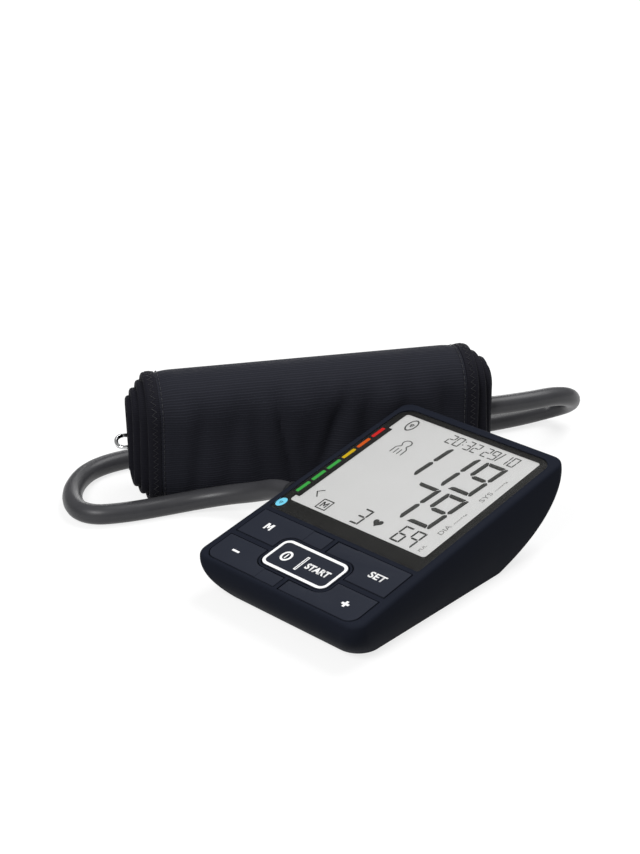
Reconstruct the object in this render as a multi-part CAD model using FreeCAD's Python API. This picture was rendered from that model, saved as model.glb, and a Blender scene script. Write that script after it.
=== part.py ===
import FreeCAD, Part
import math
import os

Vector = FreeCAD.Vector

# All sizes are in millimetres. X runs to the right of the monitor, Y to its back, Z up.
# The pieces are laid out from the front edge of the monitor's top and moved to the common origin at the end.

# Monitor housing
BODY_WIDTH = 96.6
BODY_LENGTH = 147.2
FRONT_HEIGHT = 22.0
BACK_HEIGHT = 46.72
BASE_FRONT_INSET = 9.2
BASE_SIDE_INSET = 5.6
BASE_BACK_INSET = 30.8
HULL_FULLNESS = 1.85
FRONT_BULGE = 1.45
SIDE_BULGE = 0.9
BACK_BULGE = 4.0
TOP_CORNER_RADIUS = 6.5
BASE_CORNER_RADIUS = 11.0
TOP_EDGE_RADIUS = 2.0
WALL = 2.2
FLOOR = 2.0
DECK = 3.6
PARTING_FRONT_HEIGHT = 9.5
PARTING_BACK_HEIGHT = 25.0
FOOT_HEIGHT = 1.0
FOOT_RADIUS = 4.0
FRONT_FOOT_INSET = (15.3, 23.0)
BACK_FOOT_INSET = (12.8, 54.2)

# Display, measured along the sloping top from its front edge
LENS_SIDE_MARGIN = 3.8
LENS_FRONT = 44.9
LENS_BACK_MARGIN = 5.13
LENS_THICKNESS = 0.6
LENS_FRONT_RADIUS = 1.0
LENS_BACK_RADIUS = 7.2
LENS_GAP = 0.15
LENS_LEDGE = 2.2
LENS_OPENING_RADIUS = 1.0
MASK_THICKNESS = 0.1
GASKET_THICKNESS = 0.1
VIEW_SIDE_BORDER = 4.26
VIEW_SHIFT = -0.34
VIEW_FRONT_BORDER = 9.75
VIEW_BACK_BORDER = 3.53
VIEW_CORNER_RADIUS = 1.6
SCALE_STRIP_FRONT_GAP = 4.35
SCALE_STRIP_BACK_GAP = 14.5
SCALE_STRIP_DEPTH = 2.3
LCD_MARGIN = 0.3
LCD_THICKNESS = 2.8
LCD_CLEARANCE = 0.1
LCD_FRAME_WALL = 0.5
LCD_FRAME_BACK = 1.2
LCD_BAR = 2.2
LCD_BAR_FRONT_INSET = 8.4
LCD_BAR_BACK_INSET = 5.0
CONNECTOR_INSET = 1.0
CONNECTOR_DEPTH = 2.2

# Keys, measured along the sloping top from its front edge
KEY_FIELD_SIDE_MARGIN = 4.0
KEY_FIELD_FRONT = 1.6
KEY_FIELD_BACK = 42.4
KEY_FIELD_FRONT_RADIUS = 6.0
KEY_FIELD_BACK_RADIUS = 1.0
KEY_ROW_MIDDLE = 21.2
KEY_GAP = 0.35
KEY_PROUD = 0.25
KEY_TRAVEL = 0.8
KEY_TAB_THICKNESS = 0.6
KEY_TAB_REACH = 0.7
KEY_TAB_CLEARANCE = 0.3
ROW_TAB_END_GAP = 1.0
COLUMN_TAB_INSET = 2.0
COLUMN_TAB_LENGTH = 4.0
KEY_STEP_HALF_WIDTH = 12.8
KEY_STEP_DEPTH = 0.3
ROW_RIB = 2.5
COLUMN_RIB = 2.0
START_WIDTH = 38.9
START_LENGTH = 20.4
START_RADIUS = 4.4
START_COLLAR = 1.0

# Main board, keypad and what sits on the board
BOARD_DEPTH = 7.0
BOARD_THICKNESS = 1.6
BOARD_HALF_WIDTH = 32.0
BOARD_FRONT = 6.0
BOARD_BACK_GAP = 36.6
BOARD_POST_INSET = 5.0
BOARD_POST_FRONT = 46.0
BOARD_POST_RADIUS = 2.4
BOARD_SCREW_RADIUS = 1.0
BOARD_SCREW_HEAD_RADIUS = 2.0
BOARD_SCREW_HEAD_HEIGHT = 1.2
BOARD_SCREW_LENGTH = 4.0
BOARD_SCREW_TIP_GAP = 0.2
MAT_THICKNESS = 1.0
MAT_FRONT = 7.5
MAT_BACK = 41.0
MAT_DOME_RADIUS = 3.4
MAT_DOME_HEIGHT = 0.5
SENSOR_SIZE = 8.0
SENSOR_HEIGHT = 4.0
SENSOR_INSET = (6.0, 7.0)
SENSOR_NIPPLE_ROOT = 0.7
SENSOR_TUBE_LEAD = 1.4
RADIO_WIDTH = 13.0
RADIO_LENGTH = 18.0
RADIO_HEIGHT = 2.2
RADIO_INSET = 14.0
CHIP_SIZE = 12.0
CHIP_HEIGHT = 1.4
CHIP_INSET = 22.0
CHIP_ROW = 30.0

# Battery compartment, under the display
CELL_RADIUS = 7.25
CELL_LENGTH = 50.5
CELL_NUB_RADIUS = 2.7
CELL_NUB_HEIGHT = 1.0
CELL_PITCH = 15.0
CELL_COUNT = 4
CELL_PLAY = 0.35
TRAY_WALL = 1.5
TRAY_FRONT_TO_BACK = 98.2
CONTACT_THICKNESS = 0.4
CONTACT_SIZE = 11.0
CONTACT_BUMP_RADIUS = 3.2
CONTACT_BUMP_HEIGHT = 1.2
PARTITION = 1.0
DOOR_GAP = 0.4
DOOR_THICKNESS = 2.0
HINGE_BARREL_RADIUS = 1.6
HINGE_PIN_RADIUS = 1.0
HINGE_PIN_LENGTH = 2.4
HINGE_PIN_CLEARANCE = 0.05
HINGE_EAR = 3.0
LATCH_WIDTH = 16.0
LATCH_THICKNESS = 1.2
LATCH_HEIGHT = 4.5
LATCH_BAY = 3.6

# Housing screws
FRONT_SCREW_INSET = (13.1, 45.6)
BACK_SCREW_INSET = (13.4, 39.2)
SCREW_RADIUS = 1.2
SCREW_LENGTH = 9.0
SCREW_HEAD_RADIUS = 2.2
SCREW_HEAD_HEIGHT = 1.5
SCREW_CLEARANCE = 0.1
SCREW_TIP_GAP = 0.5
SCREW_SLOT_WIDTH = 0.8
SCREW_SLOT_DEPTH = 0.7
SCREW_SEAT_HEIGHT = 4.5
POST_TOP_HEIGHT = 8.0
POST_RADIUS = 3.0
BOSS_RADIUS = 2.6
BOSS_WEB = 2.0
BACK_BOSS_TOP = 31.0
BACK_BOSS_WEB_HEIGHT = 8.0

# Air pump, valve and inner tubes
PUMP_RADIUS = 9.5
PUMP_TO_BACK = 23.7
PUMP_Z = 25.4
MOTOR_RIGHT = 24.0
MOTOR_LENGTH = 30.0
HEAD_LENGTH = 18.0
HEAD_WALL = 1.5
SHAFT_RADIUS = 1.0
SHAFT_CLEARANCE = 0.05
SHAFT_IN_MOTOR = 5.0
SHAFT_END_GAP = 1.0
SHAFT_OUT = 6.0
CRANK_RADIUS = 5.0
CRANK_THICKNESS = 2.5
CRANK_OFFSET = 2.2
CRANK_PIN_RADIUS = 0.9
CRANK_PIN_LENGTH = 3.5
DIAPHRAGM_THICKNESS = 1.0
SLEEVE_THICKNESS = 1.4
SLEEVE_LENGTH = 18.0
CRADLE_RIB = 2.0
TUBE_RADIUS = 2.2
TUBE_BORE = 1.3
SENSOR_TUBE_RADIUS = 1.1
SENSOR_TUBE_BORE = 0.6
NIPPLE_LENGTH = 3.5
TUBE_LINE_INSET = 8.1
TUBE_LINE_Z = 19.5
OUTLET_OFFSET = 5.0
MANIFOLD_WIDTH = 8.0
MANIFOLD_LENGTH = 7.5
MANIFOLD_HEIGHT = 8.0
VALVE_SIZE = 7.4
VALVE_HEIGHT = 10.0
VALVE_BORE = 1.5
PLUNGER_RADIUS = 1.4
PLUNGER_LENGTH = 6.0
VALVE_SEAT = 1.2

# Air socket in the left side and the hose plug
SOCKET_TO_BACK = 73.7
SOCKET_Z = 19.5
SOCKET_RADIUS = 6.0
SOCKET_INSET = 0.35
SOCKET_LENGTH = 14.0
SOCKET_BORE = 3.55
SOCKET_END_WALL = 1.5
SOCKET_FIT = 0.05
PLUG_FIT = 0.05
PLUG_STEM_LENGTH = 4.6
PLUG_COLLAR_RADIUS = 5.8
PLUG_COLLAR_LENGTH = 11.5
PLUG_FACE_GAP = 0.3
PLUG_EDGE_RADIUS = 1.0
PLUG_GROOVES = 4
PLUG_GROOVE_DEPTH = 0.5
PLUG_GROOVE_WIDTH = 1.0
PLUG_GROOVE_START = 2.4
PLUG_GROOVE_STEP = 1.9
HOSE_RADIUS = 5.0
HOSE_BORE = 2.5
HOSE_BARB_LENGTH = 4.9
BARB_CLEARANCE = 0.05

# Rolled cuff: X along the roll, Y to its back and Z up in the roll's own frame
CUFF_ANGLE = 55.4
CUFF_FROM_SOCKET = (-88.05, -20.6)
CUFF_WIDTH = 166.7
CUFF_TELESCOPE = 11.0
CUFF_DEPTH = 38.5
CUFF_HEIGHT = 64.6
CUFF_LIFT = 0.2
CUFF_HALF_TURNS = 7
CUFF_PITCH = 3.6
CUFF_FABRIC = 1.0
CUFF_FILLING = 1.2
CUFF_TAIL = 22.0
CUFF_BINDING = 6.0
BLADDER_HALF_TURNS = 4
HOOK_THICKNESS = 1.2
HOOK_LENGTH = 18.0
HOOK_MARGIN = 22.0
RING_WIRE_RADIUS = 1.05
RING_LENGTH = 118.0
RING_WIDTH = 10.4
RING_OUT = 6.3
RING_BEND_RADIUS = 3.8
RING_CLEARANCE = 0.3
RING_DROP = 2.5
PORT_RADIUS = 4.4
PORT_LENGTH = 24.0
PORT_FLANGE_GAP = 5.9
PORT_FLANGE_THICKNESS = 1.6
PORT_DROP = 3.0

# Hose route: from the cuff port, along the back of the roll, then over the floor to the socket.
# The first two lists run along the roll from its right end, and the first one's heights are from the port.
# The last list is from the mouth of the air socket.
HOSE_FLOOR = 5.1
HOSE_FIRST_RUN = (-14.7, 8.3)
ROUTE_OFF_PORT = [
    (32.3, 2.6, 0.1),
    (49.8, 8.0, -0.9),
    (61.8, 15.0, -6.1),
]
ROUTE_BY_ROLL = [
    (66.1, 27.0, 14.0),
    (56.8, 37.0, 6.4),
    (35.3, 33.2, HOSE_FLOOR),
    (-6.7, 27.0, HOSE_FLOOR),
    (-54.7, 25.5, HOSE_FLOOR),
    (-102.7, 27.5, HOSE_FLOOR),
    (-145.7, 31.5, HOSE_FLOOR),
]
ROUTE_TO_SOCKET = [
    (-116.55, -5.5, HOSE_FLOOR),
    (-121.55, -20.0, HOSE_FLOOR),
    (-121.95, -32.5, HOSE_FLOOR),
    (-117.65, -43.5, HOSE_FLOOR),
    (-110.25, -53.7, HOSE_FLOOR),
    (-100.55, -61.1, HOSE_FLOOR),
    (-91.65, -63.6, HOSE_FLOOR),
    (-83.65, -60.6, HOSE_FLOOR),
    (-77.65, -53.2, HOSE_FLOOR),
    (-71.65, -43.3, HOSE_FLOOR),
    (-64.95, -29.6, HOSE_FLOOR),
    (-56.45, -16.9, 6.4),
    (-45.25, -7.3, 9.3),
    (-33.25, -1.5, 12.9),
]
HOSE_LAST_RUN = 9.0
BEND_SHARE = 0.45

# Values worked out from the driving sizes
TILT = math.atan2(BACK_HEIGHT - FRONT_HEIGHT, BODY_LENGTH)
SLOPE_LENGTH = BODY_LENGTH / math.cos(TILT)
SLOPE = FreeCAD.Placement(Vector(0, 0, FRONT_HEIGHT), FreeCAD.Rotation(Vector(1, 0, 0), math.degrees(TILT)))
HALF_BODY = BODY_WIDTH / 2
SOCKET_OUTER_X = SOCKET_INSET - HALF_BODY
SOCKET_Y = BODY_LENGTH - SOCKET_TO_BACK
ROLL = FreeCAD.Placement(
    Vector(SOCKET_OUTER_X + CUFF_FROM_SOCKET[0], SOCKET_Y + CUFF_FROM_SOCKET[1], 0),
    FreeCAD.Rotation(Vector(0, 0, 1), CUFF_ANGLE))
FRONT_FOOT_PLACE = (HALF_BODY - FRONT_FOOT_INSET[0], FRONT_FOOT_INSET[1])
BACK_FOOT_PLACE = (HALF_BODY - BACK_FOOT_INSET[0], BODY_LENGTH - BACK_FOOT_INSET[1])
FRONT_SCREW_PLACE = (HALF_BODY - FRONT_SCREW_INSET[0], FRONT_SCREW_INSET[1])
BACK_SCREW_PLACE = (HALF_BODY - BACK_SCREW_INSET[0], BODY_LENGTH - BACK_SCREW_INSET[1])
LENS_WIDTH = BODY_WIDTH - 2 * LENS_SIDE_MARGIN
LENS_BACK = SLOPE_LENGTH - LENS_BACK_MARGIN
VIEW_WIDTH = LENS_WIDTH - 2 * VIEW_SIDE_BORDER
VIEW_FRONT = LENS_FRONT + VIEW_FRONT_BORDER
VIEW_LENGTH = LENS_BACK - VIEW_BACK_BORDER - VIEW_FRONT
SCALE_STRIP_FRONT = VIEW_FRONT + SCALE_STRIP_FRONT_GAP
SCALE_STRIP_LENGTH = VIEW_LENGTH - SCALE_STRIP_FRONT_GAP - SCALE_STRIP_BACK_GAP
KEY_FIELD_HALF_WIDTH = HALF_BODY - KEY_FIELD_SIDE_MARGIN
BOARD_BACK = VIEW_FRONT + VIEW_LENGTH - BOARD_BACK_GAP
BOARD_POST_PLACE = (BOARD_HALF_WIDTH - BOARD_POST_INSET, BOARD_POST_FRONT)
SENSOR_PLACE = (SENSOR_INSET[0] - BOARD_HALF_WIDTH, BOARD_BACK - SENSOR_INSET[1])
RADIO_PLACE = (BOARD_HALF_WIDTH - RADIO_INSET, CHIP_ROW)
CHIP_PLACE = (CHIP_INSET - BOARD_HALF_WIDTH, CHIP_ROW)
LCD_BAR_PLACES = (VIEW_FRONT + LCD_BAR_FRONT_INSET, BOARD_BACK - LCD_BAR_BACK_INSET)
LENS_SEAT = LENS_THICKNESS + MASK_THICKNESS + GASKET_THICKNESS
LCD_BACK = LENS_SEAT + LCD_THICKNESS
KEY_BOTTOM = DECK + KEY_TAB_CLEARANCE + KEY_TAB_THICKNESS
TRAY_HALF_WIDTH = (CELL_COUNT - 1) * CELL_PITCH / 2 + CELL_RADIUS + CELL_PLAY
TRAY_FRONT = BODY_LENGTH - TRAY_FRONT_TO_BACK
DOOR_TOP = FOOT_HEIGHT + DOOR_THICKNESS
CELL_Z = DOOR_TOP + CELL_PLAY + CELL_RADIUS
TRAY_ROOF = CELL_Z + CELL_RADIUS + CELL_PLAY
HINGE_Y = TRAY_FRONT + DOOR_GAP + HINGE_BARREL_RADIUS
HINGE_Z = FOOT_HEIGHT + HINGE_BARREL_RADIUS
PARTITION_BOTTOM = HINGE_Z + HINGE_BARREL_RADIUS + DOOR_GAP
CELL_BAY_FRONT = HINGE_Y + HINGE_BARREL_RADIUS + DOOR_GAP + PARTITION
CONTACT_REACH = CONTACT_THICKNESS + CONTACT_BUMP_HEIGHT
CELL_FRONT = CELL_BAY_FRONT + CONTACT_REACH
CELL_BAY_BACK = CELL_FRONT + CELL_LENGTH + CONTACT_REACH
TRAY_BACK = CELL_BAY_BACK + PARTITION + LATCH_BAY
PUMP_Y = BODY_LENGTH - PUMP_TO_BACK
OUTLET_Y = PUMP_Y - OUTLET_OFFSET
TUBE_LINE_X = TUBE_LINE_INSET - HALF_BODY
MOTOR_LEFT = MOTOR_RIGHT - MOTOR_LENGTH
HEAD_LEFT = MOTOR_LEFT - HEAD_LENGTH
MANIFOLD_RIGHT = TUBE_LINE_X + MANIFOLD_WIDTH - TUBE_RADIUS
MANIFOLD_FRONT = OUTLET_Y - MANIFOLD_LENGTH / 2
MANIFOLD_TOP = TUBE_LINE_Z + MANIFOLD_HEIGHT / 2
PLUG_BACK_X = SOCKET_OUTER_X - PLUG_FACE_GAP - PLUG_COLLAR_LENGTH
CUFF_HALF_THICKNESS = CUFF_FABRIC + CUFF_FILLING / 2
ROLL_STEP = CUFF_PITCH / 2
ROLL_MIDDLE = ROLL_STEP / 2
ROLL_OUTER_RADIUS = CUFF_DEPTH / 2 - CUFF_HALF_THICKNESS
ROLL_TOP_Z = CUFF_LIFT + CUFF_HEIGHT - CUFF_DEPTH / 2
ROLL_BOTTOM_Z = CUFF_LIFT + CUFF_DEPTH / 2 - ROLL_STEP
ROLL_CORE = ROLL_OUTER_RADIUS - (CUFF_HALF_TURNS - 1) * ROLL_STEP - CUFF_HALF_THICKNESS
ROLL_HALF_HEIGHT = CUFF_LIFT + CUFF_HEIGHT / 2
RING_HEIGHT = ROLL_HALF_HEIGHT - RING_DROP
PORT_HEIGHT = ROLL_HALF_HEIGHT - PORT_DROP
PORT_FLANGE_HEIGHT = ROLL_TOP_Z - ROLL_BOTTOM_Z - PORT_FLANGE_GAP


# Helpers

def box(x0, x1, y0, y1, z0, z1):
    """A box between two corners."""
    return Part.makeBox(x1 - x0, y1 - y0, z1 - z0, Vector(x0, y0, z0))


def rod(radius, start, end):
    """A round rod from one point to another."""
    start = Vector(*start)
    along = Vector(*end) - start
    return Part.makeCylinder(radius, along.Length, start, along)


def fuse(shapes):
    """All the shapes joined into one solid."""
    return shapes[0].multiFuse(shapes[1:]).removeSplitter()


def outline(x0, x1, y0, y1, front_radius, back_radius):
    """A closed wire round a rectangle with rounded corners, in the XY plane."""
    corners = [
        (x1 - front_radius, y0 + front_radius, front_radius, -90),
        (x1 - back_radius, y1 - back_radius, back_radius, 0),
        (x0 + back_radius, y1 - back_radius, back_radius, 90),
        (x0 + front_radius, y0 + front_radius, front_radius, 180),
    ]
    edges = []
    last = None
    first = None
    for cx, cy, radius, start in corners:
        points = []
        for turn in (0, 45, 90):
            angle = math.radians(start + turn)
            points.append(Vector(cx + radius * math.cos(angle), cy + radius * math.sin(angle), 0))
        if last is None:
            first = points[0]
        else:
            edges.append(Part.LineSegment(last, points[0]).toShape())
        edges.append(Part.Arc(*points).toShape())
        last = points[2]
    edges.append(Part.LineSegment(last, first).toShape())
    return Part.Wire(edges)


def plate(x0, x1, y0, y1, low, high, front_radius, back_radius):
    """A rounded rectangular plate between two levels."""
    face = Part.Face(outline(x0, x1, y0, y1, front_radius, back_radius))
    face.translate(Vector(0, 0, low))
    return face.extrude(Vector(0, 0, high - low))


def placed(shape, placement):
    """A copy of the shape in another frame."""
    moved = shape.copy()
    moved.Placement = placement.multiply(shape.Placement)
    return moved


def on_slope(shape):
    """From the sloping top's frame (X across, Y up the slope, Z out of it) to the monitor's."""
    return placed(shape, SLOPE)


def in_roll(shape):
    """From the roll's frame to the monitor's."""
    return placed(shape, ROLL)


def mirrored_places(place):
    """The same place on the right and on the left."""
    return [(place[0], place[1]), (-place[0], place[1])]


def tube_path(points):
    """Straight runs joined by tangent arcs, each as large as its two runs allow. Gives the wire and the radii."""
    edges = []
    radii = []
    start = points[0]
    for before, corner, after in zip(points, points[1:], points[2:]):
        into = corner - before
        out = after - corner
        turn = into.getAngle(out)
        reach = BEND_SHARE * min(into.Length, out.Length)
        radius = reach / math.tan(turn / 2)
        into.normalize()
        out.normalize()
        arc_start = corner - into * reach
        arc_end = corner + out * reach
        inward = out - into
        inward.normalize()
        middle = corner + inward * (radius / math.cos(turn / 2) - radius)
        edges.append(Part.LineSegment(start, arc_start).toShape())
        edges.append(Part.Arc(arc_start, middle, arc_end).toShape())
        radii.append(radius)
        start = arc_end
    edges.append(Part.LineSegment(start, points[-1]).toShape())
    return Part.Wire(edges), radii


def swept_rod(path, points, radius):
    """A round rod along a path."""
    along = points[1] - points[0]
    ring = Part.Wire([Part.makeCircle(radius, points[0], along)])
    return path.makePipeShell([ring], True, False)


def tube(points, radius, bore):
    """A round tube with a bore along a route, and the radii of its bends."""
    path, radii = tube_path(points)
    hollow = swept_rod(path, points, radius).cut(swept_rod(path, points, bore))
    return hollow, path, radii


# Monitor housing

def hull_section(share, wall, floor, deck):
    """The housing's outline at a share of its height, from 0 at the base to 1 at the sloping top."""
    inset = (1 - share) ** HULL_FULLNESS
    bulge = 4 * share * (1 - share)
    half_width = BODY_WIDTH / 2 - BASE_SIDE_INSET * inset + SIDE_BULGE * bulge - wall
    front = BASE_FRONT_INSET * inset - FRONT_BULGE * bulge + wall
    back = BODY_LENGTH - BASE_BACK_INSET * inset + BACK_BULGE * bulge - wall
    radius = TOP_CORNER_RADIUS + (BASE_CORNER_RADIUS - TOP_CORNER_RADIUS) * (1 - share) - wall
    lean = math.atan(math.tan(TILT) * share)
    height = (FOOT_HEIGHT + floor) * (1 - share) + (FRONT_HEIGHT - deck / math.cos(TILT)) * share
    wire = outline(-half_width, half_width, front / math.cos(lean), back / math.cos(lean), radius, radius)
    return placed(
        wire, FreeCAD.Placement(Vector(0, 0, height), FreeCAD.Rotation(Vector(1, 0, 0), math.degrees(lean))))


def hull(wall, floor, deck):
    """The housing's outer form, or the hollow inside it."""
    sections = [hull_section(share, wall, floor, deck) for share in (0.0, 0.25, 0.5, 0.75, 1.0)]
    return Part.makeLoft(sections, True, False)


def rounded_hull():
    """The outer form with its top edge rounded."""
    form = hull(0, 0, 0)
    top = SLOPE.inverse()
    rim = []
    for edge in form.Edges:
        levels = [abs(top.multVec(vertex.Point).z) for vertex in edge.Vertexes]
        if max(levels) < 0.001:
            rim.append(edge)
    return form.makeFillet(TOP_EDGE_RADIUS, rim)


def below_parting():
    """The space under the sloping plane where the two housings meet."""
    lean = math.degrees(math.atan2(PARTING_BACK_HEIGHT - PARTING_FRONT_HEIGHT, BODY_LENGTH))
    space = box(-BODY_WIDTH, BODY_WIDTH, -BODY_LENGTH, 2 * BODY_LENGTH, -BODY_LENGTH, 0)
    return placed(
        space, FreeCAD.Placement(Vector(0, 0, PARTING_FRONT_HEIGHT), FreeCAD.Rotation(Vector(1, 0, 0), lean)))


def socket_hole():
    radius = SOCKET_RADIUS + SOCKET_FIT
    return rod(radius, (-BODY_WIDTH, SOCKET_Y, SOCKET_Z), (0, SOCKET_Y, SOCKET_Z))


def start_opening(grow):
    """The start key's rounded outline, grown on all sides, through the deck."""
    half_width = START_WIDTH / 2 + grow
    half_length = START_LENGTH / 2 + grow
    radius = START_RADIUS + grow
    return plate(
        -half_width, half_width, KEY_ROW_MIDDLE - half_length, KEY_ROW_MIDDLE + half_length,
        -KEY_BOTTOM, KEY_PROUD, radius, radius)


def corner_key_prism(side, row, gap):
    """One corner key's outline, or its opening where gap is 0: side 1 is right, row 1 is back."""
    edge = KEY_FIELD_HALF_WIDTH - gap
    inner = COLUMN_RIB / 2 + gap
    field = plate(
        -edge, edge, KEY_FIELD_FRONT + gap, KEY_FIELD_BACK - gap,
        -KEY_BOTTOM, KEY_PROUD, KEY_FIELD_FRONT_RADIUS - gap, KEY_FIELD_BACK_RADIUS - gap)
    near = KEY_ROW_MIDDLE + row * (ROW_RIB / 2 + gap)
    far = KEY_ROW_MIDDLE + row * BODY_LENGTH
    quarter = box(
        min(side * inner, side * BODY_WIDTH), max(side * inner, side * BODY_WIDTH),
        min(near, far), max(near, far), -KEY_BOTTOM, KEY_PROUD)
    collar = start_opening(KEY_GAP + START_COLLAR + gap)
    return field.common(quarter).cut(collar)


def lens_recess():
    half_width = LENS_WIDTH / 2 + LENS_GAP
    return plate(
        -half_width, half_width, LENS_FRONT - LENS_GAP, LENS_BACK + LENS_GAP, -LENS_SEAT, TOP_EDGE_RADIUS,
        LENS_FRONT_RADIUS + LENS_GAP, LENS_BACK_RADIUS + LENS_GAP)


def lens_opening():
    half_width = LENS_WIDTH / 2 - LENS_LEDGE
    return plate(
        -half_width, half_width, LENS_FRONT + LENS_LEDGE, LENS_BACK - LENS_LEDGE, -2 * DECK, 0,
        LENS_OPENING_RADIUS, LENS_OPENING_RADIUS)


def screw_boss(place, top):
    """A boss of the top housing with its pilot hole, down to the post under it."""
    x, y = place
    boss = rod(BOSS_RADIUS, (x, y, POST_TOP_HEIGHT), (x, y, top))
    tip = SCREW_SEAT_HEIGHT + SCREW_LENGTH
    return boss.cut(rod(SCREW_RADIUS + SCREW_CLEARANCE, (x, y, POST_TOP_HEIGHT), (x, y, tip)))


def screw_bosses(form):
    """The front bosses hang from the deck. The back ones stand off the side walls on webs."""
    bosses = []
    for place in mirrored_places(FRONT_SCREW_PLACE):
        deck_middle = FRONT_HEIGHT + place[1] * math.tan(TILT) - (DECK + LENS_SEAT) / 2
        bosses.append(screw_boss(place, deck_middle))
    for x, y in mirrored_places(BACK_SCREW_PLACE):
        bosses.append(screw_boss((x, y), BACK_BOSS_TOP))
        ends = sorted((x, math.copysign(BODY_WIDTH, x)))
        web = box(
            ends[0], ends[1], y - BOSS_WEB / 2, y + BOSS_WEB / 2,
            BACK_BOSS_TOP - BACK_BOSS_WEB_HEIGHT, BACK_BOSS_TOP)
        bosses.append(web.common(form))
    return bosses


def screw_post(place):
    """A post of the bottom housing, which the screw goes up through."""
    x, y = place
    return rod(POST_RADIUS, (x, y, FOOT_HEIGHT), (x, y, POST_TOP_HEIGHT))


def screw_holes(place):
    """The shank's hole and the head's recess, from below."""
    x, y = place
    shank = rod(SCREW_RADIUS + SCREW_CLEARANCE, (x, y, 0), (x, y, POST_TOP_HEIGHT))
    head = rod(SCREW_HEAD_RADIUS + SCREW_CLEARANCE, (x, y, 0), (x, y, SCREW_SEAT_HEIGHT))
    return shank.fuse(head)


def board_post(place):
    """A post that hangs from the deck to the board's upper face."""
    x, y = place
    post = rod(BOARD_POST_RADIUS, (x, y, -BOARD_DEPTH), (x, y, -LENS_SEAT - GASKET_THICKNESS))
    tip = BOARD_SCREW_LENGTH - BOARD_THICKNESS - BOARD_DEPTH
    return post.cut(rod(BOARD_SCREW_RADIUS, (x, y, -BOARD_DEPTH), (x, y, tip)))


def screw_places():
    return mirrored_places(FRONT_SCREW_PLACE) + mirrored_places(BACK_SCREW_PLACE)


def make_top_housing(shell, form):
    upper = shell.cut(below_parting())
    upper = upper.cut(on_slope(lens_recess())).cut(on_slope(lens_opening()))
    openings = [start_opening(KEY_GAP)]
    for side in (-1, 1):
        for row in (-1, 1):
            openings.append(corner_key_prism(side, row, 0))
    for opening in openings:
        upper = upper.cut(on_slope(opening))
    added = screw_bosses(form)
    for place in mirrored_places(BOARD_POST_PLACE):
        added.append(on_slope(board_post(place)))
    return fuse([upper] + added).cut(socket_hole())


def cradle_ribs(form):
    """Two ribs that rise from the hull and carry the pump's sleeve."""
    sleeve_radius = PUMP_RADIUS + SLEEVE_THICKNESS
    left = MOTOR_LEFT + (MOTOR_LENGTH - SLEEVE_LENGTH) / 2
    ribs = []
    for x in (left + CRADLE_RIB, left + SLEEVE_LENGTH - 2 * CRADLE_RIB):
        rib = box(x, x + CRADLE_RIB, TRAY_BACK + TRAY_WALL, BODY_LENGTH, 0, PUMP_Z - CRADLE_RIB)
        rib = rib.common(form).common(below_parting())
        ribs.append(rib.cut(rod(sleeve_radius, (x, PUMP_Y, PUMP_Z), (x + CRADLE_RIB, PUMP_Y, PUMP_Z))))
    return ribs


def battery_tray():
    """The compartment's walls, roof and partitions, and the ears for the door's pins."""
    outer_half = TRAY_HALF_WIDTH + TRAY_WALL
    tray = box(
        -outer_half, outer_half, TRAY_FRONT - TRAY_WALL, TRAY_BACK + TRAY_WALL, FOOT_HEIGHT, TRAY_ROOF + TRAY_WALL)
    tray = tray.cut(box(-TRAY_HALF_WIDTH, TRAY_HALF_WIDTH, TRAY_FRONT, TRAY_BACK, 0, TRAY_ROOF))
    pieces = [tray]
    for front in (CELL_BAY_FRONT - PARTITION, CELL_BAY_BACK):
        pieces.append(
            box(-TRAY_HALF_WIDTH, TRAY_HALF_WIDTH, front, front + PARTITION, PARTITION_BOTTOM, TRAY_ROOF))
    for side in (-1, 1):
        ends = sorted((side * TRAY_HALF_WIDTH, side * (TRAY_HALF_WIDTH + HINGE_EAR)))
        pieces.append(
            box(ends[0], ends[1], TRAY_FRONT, HINGE_Y + HINGE_EAR, FOOT_HEIGHT, HINGE_Z + HINGE_EAR))
    return fuse(pieces)


def make_bottom_housing(shell, form):
    lower = shell.common(below_parting())
    posts = [screw_post(place) for place in screw_places()]
    floor_opening = box(-TRAY_HALF_WIDTH, TRAY_HALF_WIDTH, TRAY_FRONT, TRAY_BACK, 0, DOOR_TOP)
    lower = fuse([lower] + posts + cradle_ribs(form)).cut(floor_opening)
    lower = fuse([lower, battery_tray()])
    for place in screw_places():
        lower = lower.cut(screw_holes(place))
    pin_end = TRAY_HALF_WIDTH - DOOR_GAP + HINGE_PIN_LENGTH + DOOR_GAP
    pin_hole = rod(HINGE_PIN_RADIUS + HINGE_PIN_CLEARANCE, (-pin_end, HINGE_Y, HINGE_Z), (pin_end, HINGE_Y, HINGE_Z))
    return lower.cut(pin_hole).cut(socket_hole())


def make_rubber_feet():
    feet = []
    for place in mirrored_places(FRONT_FOOT_PLACE) + mirrored_places(BACK_FOOT_PLACE):
        feet.append(rod(FOOT_RADIUS, (place[0], place[1], 0), (place[0], place[1], FOOT_HEIGHT)))
    return Part.makeCompound(feet)


def make_housing_screws():
    screws = []
    for x, y in screw_places():
        shank = rod(SCREW_RADIUS, (x, y, SCREW_SEAT_HEIGHT), (x, y, SCREW_SEAT_HEIGHT + SCREW_LENGTH - SCREW_TIP_GAP))
        head = rod(SCREW_HEAD_RADIUS, (x, y, SCREW_SEAT_HEIGHT - SCREW_HEAD_HEIGHT), (x, y, SCREW_SEAT_HEIGHT))
        slot = SCREW_SLOT_WIDTH / 2
        depth = SCREW_SEAT_HEIGHT - SCREW_HEAD_HEIGHT + SCREW_SLOT_DEPTH
        cross = box(x - SCREW_RADIUS, x + SCREW_RADIUS, y - slot, y + slot, 0, depth)
        other = box(x - slot, x + slot, y - SCREW_RADIUS, y + SCREW_RADIUS, 0, depth)
        screws.append(fuse([shank, head]).cut(cross).cut(other))
    return Part.makeCompound(screws)


# Display

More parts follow.
